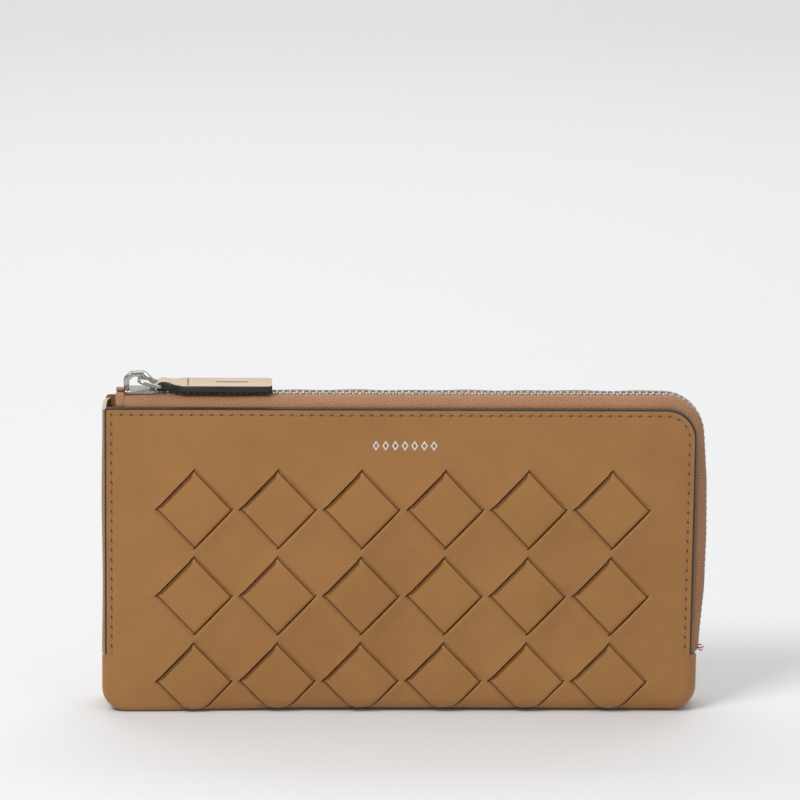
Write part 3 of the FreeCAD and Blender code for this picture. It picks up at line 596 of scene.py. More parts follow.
# ---------------------------------------------------------------- leather panels
PANEL_INSETS = (0.0, 0.15, PAINTED, 0.95, 1.6, 2.2, 2.8, 3.8, 4.8)
SLIT_MARGINS = (0.0, 0.1, 0.22, 0.4, 0.75)
STRAP_SIDES = (-0.05, -0.025, 0.0, 1.0, 1.025, 1.05)    # lines of places along a strap's sides
GRID = 2.2                                              # spacing of the places in between
SLIT_FLOOR = 0.12                                       # leather left under a slit
EDGE_ROWS, INNER_ROWS = 6, 3
# the last slot colours the slits' walls and floors dark brown: cut edge tone with painted shade
SKIN, PAINT, INSIDE, CUT_SHADE = range(4)                     # material slots of a panel


def panel_places(rings, woven):
    """The places and fixed edges that a panel's face is meshed from."""
    flat, edges = [], []

    def loop(points):
        first = len(flat)
        flat.extend(points)
        edges.extend((first + k, first + (k + 1) % len(points)) for k in range(len(points)))

    for ring in rings:
        loop(ring)
    for column, row, end in SLITS if woven else ():
        for margin in SLIT_MARGINS:
            loop([(x, squeeze(z)) for x, z in slit_loop(column, row, end, margin)])
        for t in STRAP_SIDES if end else ():
            line = [diamond_place(column, row, 0.075 + 0.85 * k / 16, t) for k in range(17)]
            flat.extend((x, squeeze(z)) for x, z in line)
    for i in range(int(2 * HALF / GRID)):
        for j in range(int(TOP / GRID)):
            x = -HALF + (i + 0.5 + 0.5 * (j % 2)) * GRID
            z = (j + 0.5) * GRID
            if edge_distance(x, z) >= 5.6 and not (woven and beside_slit(x, z)):
                flat.append((x, z))
    return flat, edges


def sink_slits(vertices, faces, indices, sign, open_pairs):
    """The walls of the slits, sunk into the leather, and their floors, in dark brown: the leather's
    cut edge darkened into painted shade of the gaps.
    """
    sunk = {}
    for a, b in open_pairs:
        for k in (a, b):
            if k not in sunk:
                x, y, z = vertices[k]
                sunk[k] = len(vertices)
                vertices.append((x, sign * (INNER + SLIT_FLOOR), z))
        faces.append([b, a, sunk[a], sunk[b]])
    faces.extend(bottoms_of(faces, sunk))
    indices.extend([CUT_SHADE] * (len(faces) - len(indices)))


def bottoms_of(faces, sunk):
    """Closed floors of the slits, chained from their sunk vertices."""
    following = {}
    lower = set(sunk.values())
    for face in faces:
        if len(face) == 4 and face[2] in lower and face[3] in lower:
            following[face[2]] = face[3]
    floors = []
    while following:
        first, here = following.popitem()
        chain = [first]
        while here != first and here in following:
            chain.append(here)
            here = following.pop(here)
        floors.append(chain)
    return floors


def edge_rows(vertices, rim, outline, sign, lift):
    """Rows of vertices from the rim over the edge, and over the wrapped ends to the inner face."""
    rows = [rim]

    def row_of(places):
        rows.append([len(vertices) + k for k in range(len(places))])
        vertices.extend(places)

    for k in range(1, EDGE_ROWS + 1):
        places = []
        for corner, (x, z) in zip(rim, outline):
            start, end = abs(vertices[corner][1]), 0.0 if wrapped(z) else INNER
            y = start + (end - start) * k / EDGE_ROWS
            places.append((x, sign * y, z + lift(x, y, z)))
        row_of(places)
    for k in range(1, INNER_ROWS + 1):
        places = []
        for (x, z), (inner_x, inner_z) in zip(outline, contour(LEATHER)):
            if wrapped(z):
                y = INNER * (k - 1) / (INNER_ROWS - 1)
                here_x, here_z = inner_x, z if abs(z - WRAP_TOP) < 0.01 else inner_z
            else:
                y, share = INNER, k / INNER_ROWS
                here_x, here_z = x + (inner_x - x) * share, z + (inner_z - z) * share
            places.append((here_x, sign * y, here_z + lift(x, y, z)))
        row_of(places)
    return rows


def panel(name, sign, woven):
    """One leather panel with its half of the bottom and ends; sign is -1 in front, 1 behind."""
    rings = [contour(inset) for inset in PANEL_INSETS]
    flat, edges = panel_places(rings, woven)
    result = delaunay_2d_cdt([Vector(p) for p in flat], edges, [], 0, 1e-5)
    places, triangles, origins = result[0], result[2], result[3]

    def lift(x, y, z):
        """The bottom's bow, which the front edge has more of than the middle plane."""
        return floor_lift(x, z, smoothstep(y / (FACE - roll_radius(0.0))) if woven else 0.0)

    vertices, faces, indices = [], [], []
    for x, z in places:
        y = FACE - face_depth(x, z, woven)
        vertices.append((x, sign * y, z + lift(x, y, z)))

    # the face, without the slits and without what the mesher adds outside the outline
    start_of = {old: new for new, olds in enumerate(origins) for old in olds}
    outline, count = rings[0], len(rings[0])
    rim = [start_of[k] for k in range(count)]
    on_rim = set(rim)
    rim_pairs = {frozenset((a, b)) for a, b in zip(rim, rim[1:] + rim[:1])}
    open_edges = {}
    for face in triangles:
        x, z = (sum(places[k][axis] for k in face) / 3 for axis in (0, 1))
        if on_rim.issuperset(face) or (woven and in_slit(x, z)):
            continue
        faces.append(list(face))
        painted = edge_distance(x, z) < PAINTED * 0.98 and z > WRAP_TOP
        indices.append(PAINT if painted else SKIN)
        for a, b in zip(face, [*face[1:], face[0]]):
            key = frozenset((a, b))
            open_edges[key] = None if key in open_edges else (a, b)
    if woven:
        sink_slits(vertices, faces, indices, sign,
                   [pair for key, pair in open_edges.items() if pair and key not in rim_pairs])

    # the edge, the wrapped ends and the inner face
    rows = edge_rows(vertices, rim, outline, sign, lift)
    for depth, (row, following) in enumerate(zip(rows, rows[1:])):
        for i in range(count):
            j = (i + 1) % count
            faces.append([row[j], row[i], following[i], following[j]])
            outer = SKIN if wrapped(outline[i][1]) and wrapped(outline[j][1]) else PAINT
            indices.append(outer if depth < EDGE_ROWS else INSIDE)
    faces.append(list(rows[-1]))
    indices.append(INSIDE)
    thing = piece(name, vertices, faces, [TAN, EDGE, SLOT_TAN, RAW_EDGE_AND_SHADE], indices)
    tidy_normals(thing)
    sharpen(thing, 48)
    return thing


front_leather = panel("front_leather", -1, True)
back_leather = panel("back_leather", 1, False)


# ---------------------------------------------------------------- woven straps
STRAP_THICK, STRAP_WALL = 0.35, 0.30        # of a strap's skin, and of its cut sides
STRAP_SUNK, SIDE_SUNK = 1.15, 0.25          # depth of a strap in its slits, and of its sides
# (distance from the strap's side, share of its height lost there)
LOWER_SIDE = ((0.0, 1.0), (0.20, 0.85), (0.46, 0.30), (0.7, 0.10), (1.05, 0.03))
UPPER_SIDE = ((0.0, 1.0), (0.10, 0.80), (0.26, 0.28), (0.5, 0.10), (0.85, 0.03))
# distances from a slit at which a strap's height is worked out
STRAP_SPANS = [-0.30, -0.12, 0.0, 0.1, 0.25, 0.5, 0.85, 1.3, 2.0, 3.0, 4.3, 6.0]


def crown(a, diving):
    """A strap's height over the panel, at a distance from the nearer slit."""
    if a < 0:
        return -STRAP_SUNK
    slow, sunk, reach = (0.42, 0.40, 0.12) if diving else (1.1, 0.85, 0.30)
    return STRAP_TOP * (1 - math.exp(-a / slow)) - sunk * math.exp(-a / reach)


def strap_lanes():
    """(share across the strap, share of its height lost) of each lane of its mesh."""
    across = 14
    lanes = [(p / DIAMOND_SIDE, drop) for p, drop in LOWER_SIDE]
    lanes += [(k / across, 0.0) for k in range(1, across)]
    lanes += [(1 - p / DIAMOND_SIDE, drop) for p, drop in reversed(UPPER_SIDE)]
    return [(0.012 + 0.976 * t, drop) for t, drop in lanes]


def strap_patch(column, row):
    """Where a strap shows: it rises out of one slit, lies on the panel and dives into the next."""
    side, lanes = DIAMOND_SIDE, strap_lanes()
    distances = STRAP_SPANS + [side / 2] + [side - a for a in reversed(STRAP_SPANS)]
    vertices, faces, cut_shades = [], [], []
    for a in distances:
        height = crown(min(a, side - a), a > side / 2)
        for t, drop in lanes:
            x, z = diamond_place(column, row, a / side, t)
            low_z = squeeze(z)
            base = FACE - roll_depth(x, low_z) - waviness(x, low_z)
            top = height * (1 - drop) - SIDE_SUNK * drop if height > 0 else height
            vertices.append((x, -(base + top), low_z + floor_lift(x, low_z)))
    width, outer = len(lanes), len(vertices)
    for i in range(len(distances) - 1):
        for j in range(width - 1):
            a = i * width + j
            faces.append([a, a + 1, a + width + 1, a + width])
            # the lanes at a strap's sides and its side walls take the dark cut-edge material:
            # painted shade along the sides
            cut_shades.append(1 if j in (0, 1, width - 3, width - 2) else 0)
    for i in range(len(distances)):
        for j in (0, width - 1):
            x, y, z = vertices[i * width + j]
            vertices.append((x, y + STRAP_WALL, z))
    for i in range(len(distances) - 1):
        for k, j in enumerate((0, width - 1)):
            a, b = i * width + j, (i + 1) * width + j
            faces.append([a, b, outer + 2 * (i + 1) + k, outer + 2 * i + k])
            cut_shades.append(1)
    return vertices, faces, cut_shades


def weaving_straps():
    """One piece for each strap, of the patches where it shows."""
    starts = [(0, row) for row in range(ROWS - 1, 0, -1)]
    starts += [(column, 0) for column in range(COLUMNS)]
    for index, (column, row) in enumerate(starts, start=1):
        vertices, faces, cut_shades = [], [], []
        while column < COLUMNS and row < ROWS:
            more, patch, patch_cut_shades = strap_patch(column, row)
            faces += [[k + len(vertices) for k in face] for face in patch]
            vertices += more
            cut_shades += patch_cut_shades
            column, row = column + 1, row + 1
        strap = piece(f"strap_{index}", vertices, faces, [STRAP_TAN, RAW_EDGE_AND_SHADE], cut_shades)
        thick = strap.modifiers.new("thick", "SOLIDIFY")
        thick.thickness = STRAP_THICK * MM
        thick.offset = -1.0
        tidy_normals(strap)
        bake_modifiers(strap)
        tidy_normals(strap)
        sharpen(strap, 60)
        settle(strap, "case_front", "tan_leather", f"weave_strap_{index}")


weaving_straps()
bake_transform(front_leather)
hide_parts("front_panel")
settle(back_leather, "case_back", "tan_leather", "back_panel", "base_wrap")


# ---------------------------------------------------------------- left side wall
def gusset():
    """The leather side wall on the left, gently bowed, that closes the end the zip leaves."""
    rows, columns = 40, 14
    low, high, half = WRAP_TOP - 0.4, TOP - 0.9, INNER + 0.1
    seated, thick, dip = 0.55, 1.2, 0.8
    vertices, faces = [], []
    for skin in (0, 1):
        for i in range(rows + 1):
            z = low + (high - low) * i / rows
            for j in range(columns + 1):
                share = -1 + 2 * j / columns
                bow = (1.55 + 0.15 * math.sin(z / 9.0)) * (1 - share ** 6)
                sag = dip * (1 - share * share) if i == rows else 0.0
                vertices.append((-HALF + seated - bow + thick * skin, share * half, z - sag))
    size, last = (rows + 1) * (columns + 1), rows * (columns + 1)
    for skin in (0, 1):
        for i in range(rows):
            for j in range(columns):
                a = skin * size + i * (columns + 1) + j
                faces.append([a, a + 1, a + columns + 2, a + columns + 1])
    border = list(range(columns))
    border += [i * (columns + 1) + columns for i in range(rows)]
    border += [last + j for j in range(columns, 0, -1)]
    border += [i * (columns + 1) for i in range(rows, 0, -1)]
    indices = [0] * len(faces)
    for a, b in zip(border, border[1:] + border[:1]):
        faces.append([a, b, b + size, a + size])
        indices.append(1 if a >= last and b >= last else 0)
    thing = piece("left_side_wall", vertices, faces, [TAN, PULL_TAN], indices)
    tidy_normals(thing)
    sharpen(thing, 50)
    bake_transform(thing)
    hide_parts("left_gusset")


gusset()

# ---------------------------------------------------------------- the zip
CORNER_X, CORNER_Z = HALF - CORNER_TOP, TOP - CORNER_TOP
RIDGE_RADIUS = CORNER_TOP + (RIDGE - TOP)
ZIP_LEFT, ZIP_END = tape_low.x, tape_low.z
SIDE_LEAN, SIDE_RADIUS = math.radians(5.3), 372.0      # the run down the side, slightly bowed
SIDE_X = CORNER_X - (SIDE_RADIUS - RIDGE_RADIUS) * math.cos(SIDE_LEAN)
SIDE_Z = CORNER_Z - (SIDE_RADIUS - RIDGE_RADIUS) * math.sin(SIDE_LEAN)
BEND = RIDGE_RADIUS * (math.pi / 2 - SIDE_LEAN)
BOW = SIDE_RADIUS * (SIDE_LEAN - math.asin((ZIP_END - SIDE_Z) / SIDE_RADIUS))
SEWN_OFF = 0.6                                         # tape past the CAD's lower end
ZIP_LENGTH = CORNER_X - ZIP_LEFT + BEND + BOW + SEWN_OFF


def zip_place(distance, left=ZIP_LEFT):
    """(x, z, turn) at a distance along the zip: along the top, round the corner and bowed down."""
    beyond = distance - (CORNER_X - left)
    if beyond <= 0:
        return left + distance, RIDGE, 0.0
    if beyond <= BEND:
        turn = beyond / RIDGE_RADIUS
        return (CORNER_X + RIDGE_RADIUS * math.sin(turn), CORNER_Z + RIDGE_RADIUS * math.cos(turn),
                turn)
    turn = math.pi / 2 - SIDE_LEAN + (beyond - BEND) / SIDE_RADIUS
    return SIDE_X + SIDE_RADIUS * math.sin(turn), SIDE_Z + SIDE_RADIUS * math.cos(turn), turn


def mark_run(thing, runs):
    """Keeps each vertex's run along and across the cloth, in metres, for the weave."""
    kept = thing.data.attributes.new("run", "FLOAT_VECTOR", "POINT")
    kept.data.foreach_set("vector", [value for along, across in runs
                                     for value in (along * MM, across * MM, 0.0)])


# section of a tape as (depth from the middle plane, height over the ridge), outer face then inner
TAPE_SECTION = [
    (8.75, -8.0), (8.75, -3.6), (8.72, -2.7), (8.45, -2.0), (7.9, -1.35), (7.1, -0.72),
    (6.3, -0.22), (5.6, 0.08), (4.8, 0.2), (3.8, 0.24), (3.0, 0.3), (2.6, 0.42), (2.3, 0.4),
    (2.2, 0.0), (2.35, -0.35), (3.0, -0.3), (4.6, -0.28), (5.5, -0.4), (6.2, -0.75),
    (7.3, -1.65), (8.1, -2.5), (8.2, -3.6), (8.2, -8.0)]


def tape(side, sign):
    """One zip tape, with the slight ripple of cloth sewn to leather."""
    count, steps = len(TAPE_SECTION), 420
    across = [0.0]
    for here, following in zip(TAPE_SECTION, TAPE_SECTION[1:]):
        across.append(across[-1] + math.dist(here, following))
    vertices, faces, runs = [], [], []
    for k in range(steps + 1):
        distance = ZIP_LENGTH * k / steps
        x, z, turn = zip_place(distance)
        ripple = 0.10 * math.sin(distance / 2.9 + sign) + 0.07 * math.sin(distance / 5.3)
        for (depth, rise), width in zip(TAPE_SECTION, across):
            runs.append((distance, width))
            loose = smoothstep((rise + 2.6) / 2.0) * smoothstep((depth - 2.2) / 2.0)
            height = rise + ripple * loose
            vertices.append((x + height * math.sin(turn), sign * depth,
                             z + height * math.cos(turn)))
    for k in range(steps):
        for j in range(count):
            a, b = k * count + j, k * count + (j + 1) % count
            faces.append([a, b, b + count, a + count])
    faces.append(list(range(count)))
    faces.append([steps * count + j for j in range(count)])
    thing = piece(f"tape_{side}", vertices, faces, [TAPE])
    mark_run(thing, runs)
    tidy_normals(thing)
    sharpen(thing, 70)
    return thing


def soft_block(size, rounding, segments=2):
    """Vertices and faces of a block with rounded edges, centred on the origin."""
    mesh = bmesh.new()
    bmesh.ops.create_cube(mesh, size=1.0)
    for vertex in mesh.verts:
        vertex.co = Vector(c * s for c, s in zip(vertex.co, size))
    bmesh.ops.bevel(mesh, geom=list(mesh.edges), offset=rounding, segments=segments, profile=0.5,
                    affect="EDGES")
    mesh.verts.ensure_lookup_table()
    vertices = [vertex.co.copy() for vertex in mesh.verts]
    faces = [[vertex.index for vertex in face.verts] for face in mesh.faces]
    mesh.free()
    return vertices, faces


class Parts:
    """Gathers many small shapes into one piece."""

    def __init__(self):
        self.vertices, self.faces = [], []

    def put(self, shape, matrix):
        base = len(self.vertices)
        self.vertices += [matrix @ Vector(v) for v in shape[0]]
        self.faces += [[k + base for k in face] for face in shape[1]]

    def make(self, name, material):
        thing = piece(name, self.vertices, self.faces, [material])
        sharpen(thing, 55)
        return thing


TOOTH_PITCH, TOOTH_START = 2.13, teeth_low.x + 0.45
SHANK_OUT, HEAD_IN = 1.45, 0.08     # centres: the shank on its own side, the head past the middle


def teeth(side, sign):
    """The metal teeth of one side: a shank that grips the tape and a domed head past the middle."""
    shank = soft_block((0.92, 2.0, 1.3), 0.16)
    head = soft_block((1.02, 1.35, 0.95), 0.24, 3)
    row = Parts()
    distance = 0.0 if sign < 0 else TOOTH_PITCH / 2
    length = ZIP_LENGTH - (TOOTH_START - ZIP_LEFT)
    while distance < length - 3.0:      # the last 3 mm are the bottom stop's
        x, z, turn = zip_place(distance, TOOTH_START)
        place = Matrix.Translation((x, 0, z)) @ Matrix.Rotation(turn, 4, "Y")
        row.put(shank, place @ Matrix.Translation((0, sign * SHANK_OUT, 0)))
        row.put(head, place @ Matrix.Translation((0, sign * -HEAD_IN, 0)))
        distance += TOOTH_PITCH
    return row.make(f"teeth_{side}", TEETH)


for side, sign, body in (("front", -1, "case_front"), ("back", 1, "case_back")):
    settle(tape(side, sign), body, "zip_tape", f"zip_tape_{side}")
    settle(teeth(side, sign), body, "zip_metal", f"zip_teeth_{side}")
    fold = refined(f"zip_tape_fold_{side}", f"tape_fold_{side}", body, "zip_tape", TAPE, 0.42, 4)
    mark_run(fold, [(v.co.x / MM, (v.co.z - abs(v.co.y)) / MM) for v in fold.data.vertices])

refined("zip_bottom_stop", "bottom_stop", "case_back", "zip_metal", TEETH, 0.3)
refined("slider_body", "slider_shells", "zip_slider", "polished_metal", NICKEL, 0.2)


def slider_arch():
    """The bridge over the ring, cast thicker on its outer side than the frame's."""
    cast = 0.75
    arch = refined("slider_bridge", "slider_arch", "zip_slider", "polished_metal", NICKEL, 0.3, 4)
    low, high = low_high("slider_bridge")
    centre = Vector(((low.x + high.x) / 2, 0, low.z + 0.4 * (high.z - low.z)))
    for vertex in arch.data.vertices:
        out = vertex.co / MM - centre
        out.y = 0
        out.normalize()
        vertex.co += out * max(vertex.normal.dot(out), 0.0) * cast * MM


slider_arch()


# ---------------------------------------------------------------- ring
def tube(name, centres, radius, sides, material):
    """A closed loop of round wire through its centre points."""
    vertices, faces = [], []
    count = len(centres)
    start, third, other = (centres[k * count // 3] for k in range(3))
    normal = (third - start).cross(other - start).normalized()
    for k, centre in enumerate(centres):
        way = (centres[(k + 1) % count] - centres[k - 1]).normalized()
        beside = way.cross(normal).normalized()
        for j in range(sides):
            angle = 2 * math.pi * j / sides
            vertices.append(centre + (beside * math.cos(angle) + normal * math.sin(angle)) * radius)
    for k in range(count):
        for j in range(sides):
            a, b = k * sides + j, k * sides + (j + 1) % sides
            onward = sides if k < count - 1 else -k * sides
            faces.append([a, b, b + onward, a + onward])
    thing = piece(name, vertices, faces, [material])
    tidy_normals(thing)
    return thing


RING_WIRE = 0.65
ring_left = Vector((ring_low.x + RING_WIRE, 0, ring_high.z - RING_WIRE))
ring_right = Vector((ring_high.x - RING_WIRE, 0, ring_low.z + RING_WIRE))
ring_half = ring_high.y - RING_WIRE


def ring_line():
    """Middle line of the wire: a rounded link between the bridge and the pull."""
    bend, points = 2.0, []
    half = (ring_right - ring_left) / 2
    along, across = half.normalized(), Vector((0, 1, 0))
    for quadrant, (way_x, way_y) in enumerate(((1, 1), (-1, 1), (-1, -1), (1, -1))):
        centre = ring_left + half + along * way_x * (half.length - bend)
        centre += across * way_y * (ring_half - bend)
        for k in range(9):
            angle = math.pi / 2 * (quadrant + k / 8)
            points.append(centre + (along * math.cos(angle) + across * math.sin(angle)) * bend)
    return points


settle(tube("ring_link", ring_line(), RING_WIRE, 16, NICKEL), "ring", "polished_metal", "pull_ring")


# ---------------------------------------------------------------- leather pull
PULL_THICK = 1.28
PULL_END = pull_high.x
PULL_HALF, PULL_NECK = pull_high.y, 3.3     # half widths at its body and inside the ring
PULL_CORNER = 1.6


def pull_half_width(x):
    """Half width of the pull: narrow through the ring, then full, with round far corners."""
    widening = smoothstep((x - (ring_right.x + 1.4)) / 5.6)
    half = PULL_NECK + (PULL_HALF - PULL_NECK) * widening
    beyond = x - (PULL_END - PULL_CORNER)
    if beyond > 0:
        half -= PULL_CORNER - math.sqrt(max(PULL_CORNER ** 2 - beyond ** 2, 0.0))
    return half


def pull_line():
    """Middle line of the strap in the XZ plane: lower layer, round the ring, upper layer."""
    wrap = RING_WIRE + 0.08 + PULL_THICK / 2
    apart = 0.01 + PULL_THICK / 2
    points = []
    stations = [PULL_END - 0.35 * k for k in range(5)]
    stations += [PULL_END - 2.0 - 2.2 * k for k in range(1, 13)]
    stations = [x for x in stations if x > ring_right.x + 5.0]
    stations += [ring_right.x + past for past in (4.0, 3.0, 2.0, 1.0)]

    def spread(x):
        """The layers part towards the ring."""
        opening = smoothstep((ring_right.x + 4.6 - x) / 4.0)
        return apart + (wrap - apart) * opening

    for x in stations:
        points.append((x, ring_right.z - apart))
    for k in range(13):
        angle = math.radians(-90 - 180 * k / 12)
        rise = wrap if k >= 6 else apart + (wrap - apart) * k / 6
        points.append((ring_right.x + wrap * math.cos(angle),
                       ring_right.z + rise * math.sin(angle)))
    for x in reversed(stations):
        points.append((x, ring_right.z + spread(x)))
    return points


def pull():
    """The pull: leather faces, painted cut edges, and an outer skin that is slightly uneven."""
    line, half_lanes = pull_line(), [0.2, 0.45, 0.7, 0.88, 0.95, 0.985, 1.0]
    lanes = [-lane for lane in reversed(half_lanes)] + [0.0] + half_lanes
    count, width, outer_skin = len(line), len(lanes), -1
    vertices, faces, indices = [], [], []
    for skin in (1, outer_skin):
        for k, (x, z) in enumerate(line):
            before, after = line[max(k - 1, 0)], line[min(k + 1, count - 1)]
            way = Vector((after[0] - before[0], 0, after[1] - before[1])).normalized()
            normal = Vector((way.z, 0, -way.x))
            half = pull_half_width(x)
            for lane in lanes:
                depth = PULL_THICK / 2
                if skin == outer_skin:
                    depth -= 0.20 * max(0.0, (abs(lane) - 0.88) / 0.12) ** 2
                    depth -= 0.05 * abs(math.sin(x / 3.1 + lane)) * (1 - abs(lane))
                vertices.append(Vector((x, lane * half, z)) + normal * depth * skin)
    size = count * width
    for skin in (0, 1):
        for k in range(count - 1):
            rim = 1 if skin and k > count // 2 else 3
            for j in range(width - 1):
                a = skin * size + k * width + j
                faces.append([a, a + 1, a + width + 1, a + width])
                indices.append(1 if j < rim or j >= width - 1 - rim else 0)
    sides = [(k * width + j, (k + 1) * width + j) for k in range(count - 1) for j in (0, width - 1)]
    ends = [(k * width + j, k * width + j + 1) for k in (0, count - 1) for j in range(width - 1)]
    for a, b in sides + ends:
        faces.append([a, b, b + size, a + size])
        indices.append(1)
    thing = piece("pull_strap", vertices, faces, [PULL_TAN, EDGE], indices)
    tidy_normals(thing)
    sharpen(thing, 75)
    settle(thing, "pull", "pull_leather", "leather_pull")


pull()


# ---------------------------------------------------------------- stitching
def capsule(length, radius, sides=8, rings=4):
    """A short round-ended rod along X, centred on the origin."""
    vertices, faces = [(-length / 2, 0, 0)], []
    sections = []
    for end, order in ((-1, range(1, rings + 1)), (1, range(rings, 0, -1))):
        for k in order:
            angle = math.pi / 2 * k / rings
            x = length / 2 - radius + radius * math.cos(angle)
            sections.append((end * x, radius * math.sin(angle)))
    for x, r in sections:
        for j in range(sides):
            turn = 2 * math.pi * j / sides
            vertices.append((x, r * math.cos(turn), r * math.sin(turn)))
    last = len(vertices)
    vertices.append((length / 2, 0, 0))
    for j in range(sides):
        faces.append([0, 1 + j, 1 + (j + 1) % sides])
        tail = last - sides
        faces.append([last, tail + (j + 1) % sides, tail + j])
    for k in range(len(sections) - 1):
        for j in range(sides):
            a, b = 1 + k * sides + j, 1 + k * sides + (j + 1) % sides
            faces.append([a, b, b + sides, a + sides])
    return vertices, faces


def stitch_line():
    """Places along the seam: up the left edge, along the top and down the right edge."""
    inset = STITCH_INSET
    left, right, high = -HALF + inset, HALF - inset, TOP - inset
    radius = CORNER_TOP - inset
    up, over = high - STITCH_LOW, CORNER_X - left
    bend, down = radius * math.pi / 2, CORNER_Z - STITCH_LOW
    total = up + over + bend + down
    count = int(total // STITCH_PITCH)
    spots = []
    for k in range(count):
        distance = (k + 0.5) * total / count
        if distance < up:
            spots.append((left, STITCH_LOW + distance, math.pi / 2))
        elif distance < up + over:
            spots.append((left + distance - up, high, 0.0))
        elif distance < up + over + bend:
            turn = (distance - up - over) / radius
            spots.append((CORNER_X + radius * math.sin(turn), CORNER_Z + radius * math.cos(turn),
                          -turn))
        else:
            spots.append((right, CORNER_Z - (distance - up - over - bend), -math.pi / 2))
    return spots


def turned(degrees, axis="Y"):
    return Matrix.Rotation(math.radians(degrees), 4, axis)


def seam(side, sign):
    """Slanted stitches, with a flat dark brown disc at each end: painted shade of the needle hole.
    """
    thread, holes = Parts(), Parts()
    stitch, hole = capsule(2.3, 0.25), capsule(1.25, 0.36)
    proud = 0.02        # how far a stitch stands out of its groove
    flat_stitch, flat_hole = Matrix.Diagonal((1, 0.62, 1, 1)), Matrix.Diagonal((1, 0.35, 1, 1))
    end = Matrix.Translation((STITCH_PITCH / 2, -sign * proud, 0))
    for x, z, turn in stitch_line():
        depth = FACE - face_depth(x, z, sign < 0)
        slant = math.radians(9) + random.uniform(-0.05, 0.05)
        place = Matrix.Translation((x, sign * (depth + proud), z)) @ Matrix.Rotation(-turn, 4, "Y")
        thread.put(stitch, place @ Matrix.Rotation(slant, 4, "Y") @ flat_stitch)
        holes.put(hole, place @ end @ Matrix.Rotation(-slant * 3.6, 4, "Y") @ flat_hole)
    return thread.make(f"seam_{side}", THREAD), holes.make(f"needle_holes_{side}", HOLE_SHADE)


for side, sign, body in (("front", -1, "case_front"), ("back", 1, "case_back")):
    thread, holes = seam(side, sign)
    settle(thread, body, "thread", f"{side}_stitching")
    settle(holes, body, "thread")


def foil_mark():
    """A row of outlined lozenges, pressed in silver foil."""
    mark, (low, high) = Parts(), low_high("front_foil_mark")
    count, middle_z = 7, (low.z + high.z) / 2
    pitch = (high.x - low.x - (high.z - low.z)) / (count - 1)
    tall, wide, line = 1.65, 1.12, 0.40
    rim = [(0, tall), (wide, 0), (0, -tall), (-wide, 0)]
    share = 1 - line / (tall * wide / math.hypot(tall, wide))
    for k in range(count):
        x = low.x + (high.z - low.z) / 2 + k * pitch
        vertices = []
        for forward in (0.0, 0.05):
            for scale in (1.0, share):
                for a, b in rim:
                    here_x, here_z = x + a * scale, middle_z + b * scale
                    y = face_depth(here_x, here_z, True) - FACE - forward
                    vertices.append((here_x, y, here_z))
        faces = []
        for j in range(4):
            n = (j + 1) % 4
            faces += [[8 + j, 8 + n, 12 + n, 12 + j], [j, n, 8 + n, 8 + j],
                      [4 + j, 4 + n, 12 + n, 12 + j]]
        mark.put((vertices, faces), Matrix.Identity(4))
    settle(mark.make("foil_lozenges", FOIL), "case_front", "foil", "front_foil_mark")


foil_mark()


def frayed_end():
    """A few loose ends of thread where the zip is sewn off."""
    tails = Parts()
    x, z, _ = zip_place(ZIP_LENGTH - 0.8)
    routes = [[(0.2, -6.4, 0.5), (1.2, -6.7, 0.1), (2.0, -6.9, 0.7)],
              [(0.1, -6.2, 0.2), (1.0, -6.6, -0.7), (1.7, -6.8, -0.4)],
              [(0.2, -5.9, 0.9), (0.9, -6.5, 1.3), (1.4, -6.6, 1.0)]]
    for route in routes:
        for start, end in zip(route, route[1:]):
            a, b = Vector(start), Vector(end)
            way = (b - a).to_track_quat("X", "Z").to_matrix().to_4x4()
            middle = Matrix.Translation(Vector((x, 0, z)) + (a + b) / 2)
            tails.put(capsule((b - a).length + 0.2, 0.2), middle @ way)
    settle(tails.make("frayed_thread", FRAYED), "case_front", "thread")


frayed_end()


def pull_seam():
    """A row of stitches across the pull, which hold its two layers, and beyond it a flat dark rod:
    painted shade of a fine cut.
    """
    thread, cut = Parts(), Parts()
    x = low_high("pull_stitching")[0].x + 0.25
    z = ring_right.z + PULL_THICK + 0.06
    for k in range(4):
        place = Matrix.Translation((x, (k - 1.5) * 2.75, z)) @ turned(84, "Z")
        thread.put(capsule(2.3, 0.24), place @ Matrix.Diagonal((1, 1, 0.6, 1)))
    settle(thread.make("pull_seam", THREAD), "pull", "thread", "pull_stitching")
    place = Matrix.Translation((x + 14.2, -0.4, z))
    cut.put(capsule(10.6, 0.2), place @ Matrix.Diagonal((1, 0.8, 0.5, 1)))
    settle(cut.make("pull_cut_shade", HOLE_SHADE), "pull", "thread")


pull_seam()

# ---------------------------------------------------------------- pieces that keep their shape
FINISHES = {
    "front_board": BOARD, "back_board": BOARD, "front_lining": LINING, "back_lining": LINING,
    "front_slip_pocket": LINING, "coin_pocket_front": LINING, "coin_pocket_back": LINING,
    "coin_pocket_gusset": LINING, "pocket_hinge_strip": LINING, "card_slot_stitching": THREAD,
    "coin_zip_tape_front": COIN_TAPE, "coin_zip_tape_back": COIN_TAPE,
    "coin_zip_teeth_front": TEETH, "coin_zip_teeth_back": TEETH, "coin_slider": NICKEL,
    "coin_pull": NICKEL,
}
for node, material in FINISHES.items():
    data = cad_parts[node].data
    data.materials.clear()
    data.materials.append(material)
for side in ("left", "right"):
    for k in (1, 2, 3):
        refined(f"card_slot_{side}_{k}", f"slot_{side}_{k}", "case_back", "slot_leather", SLOT_TAN,
                0.15)


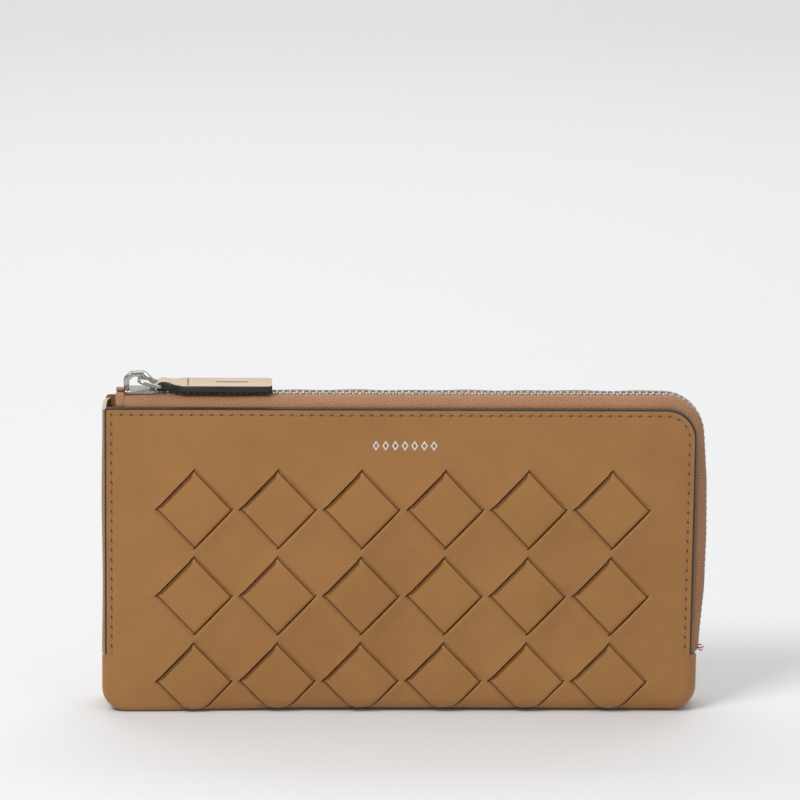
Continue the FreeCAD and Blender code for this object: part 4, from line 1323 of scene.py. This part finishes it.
# ---------------------------------------------------------------- floor, lights and camera
def studio():
    """A pale sweep that curves up behind the wallet."""
    width, front, back, rise, radius = 2.4, -2.2, 2.0, 2.0, 0.4
    line = [(front, 0.0), (back - radius, 0.0)]
    line += [(back - radius + radius * math.sin(a), radius - radius * math.cos(a))
             for a in (math.radians(6 * k) for k in range(1, 16))]
    line.append((back, rise))
    vertices, faces = [], []
    for y, z in line:
        vertices += [(-width / MM, y / MM, z / MM), (width / MM, y / MM, z / MM)]
    for k in range(len(line) - 1):
        faces.append([2 * k, 2 * k + 1, 2 * k + 3, 2 * k + 2])
    piece("studio_sweep", vertices, faces, [PAPER])


def area_light(name, place, aim, size, watts):
    light = bpy.data.lights.new(name, "AREA")
    light.shape = "RECTANGLE"
    light.size, light.size_y = size
    light.energy = watts
    lamp = bpy.data.objects.new(name, light)
    bpy.context.scene.collection.objects.link(lamp)
    lamp.location = place
    lamp.rotation_euler = (Vector(aim) - Vector(place)).to_track_quat("-Z", "Y").to_euler()


def lights():
    """A key light from the upper left, soft light from above and the right, and a wash behind."""
    wallet, floor_behind = (0.0, 0.0, 0.05), (0.0, 1.1, 0.0)
    area_light("key", (-0.66, -0.72, 1.15), wallet, size=(0.5, 0.5), watts=11.6)
    area_light("overhead", (0.1, 0.05, 1.3), wallet, size=(1.4, 1.2), watts=4.7)
    area_light("fill", (0.9, -1.1, 0.5), wallet, size=(1.0, 0.8), watts=1.9)
    area_light("wash", (0.0, 1.1, 1.3), floor_behind, size=(2.4, 0.8), watts=12.2)
    world = bpy.data.worlds.new("studio")
    world.use_nodes = True
    put(world.node_tree.nodes["Background"], Color=(0.92, 0.925, 0.93, 1), Strength=0.36)
    bpy.context.scene.world = world


def camera():
    """A long lens a little above the wallet and slightly to its left, aimed over its top."""
    elevation, yaw, roll = math.radians(14.5), math.radians(2.3), math.radians(0.68)
    centre, distance, above = Vector((-0.0006, -0.0105, 0.0505)), 1.5, 0.0522
    way = Vector((-math.sin(yaw) * math.cos(elevation), -math.cos(yaw) * math.cos(elevation),
                  math.sin(elevation)))
    up = Vector((0, 0, 1)) - way * way.z
    place, aim = centre + way * distance, centre + up.normalized() * above
    data = bpy.data.cameras.new("camera")
    data.lens, data.sensor_width = 209.3, 36.0
    data.clip_end = 20.0
    thing = bpy.data.objects.new("camera", data)
    bpy.context.scene.collection.objects.link(thing)
    thing.location = place
    level = (aim - place).to_track_quat("-Z", "Y").to_matrix()
    thing.rotation_euler = (level @ Matrix.Rotation(roll, 3, "Z")).to_euler()
    bpy.context.scene.camera = thing


studio()
lights()
camera()
bpy.context.scene.view_settings.view_transform = "Standard"
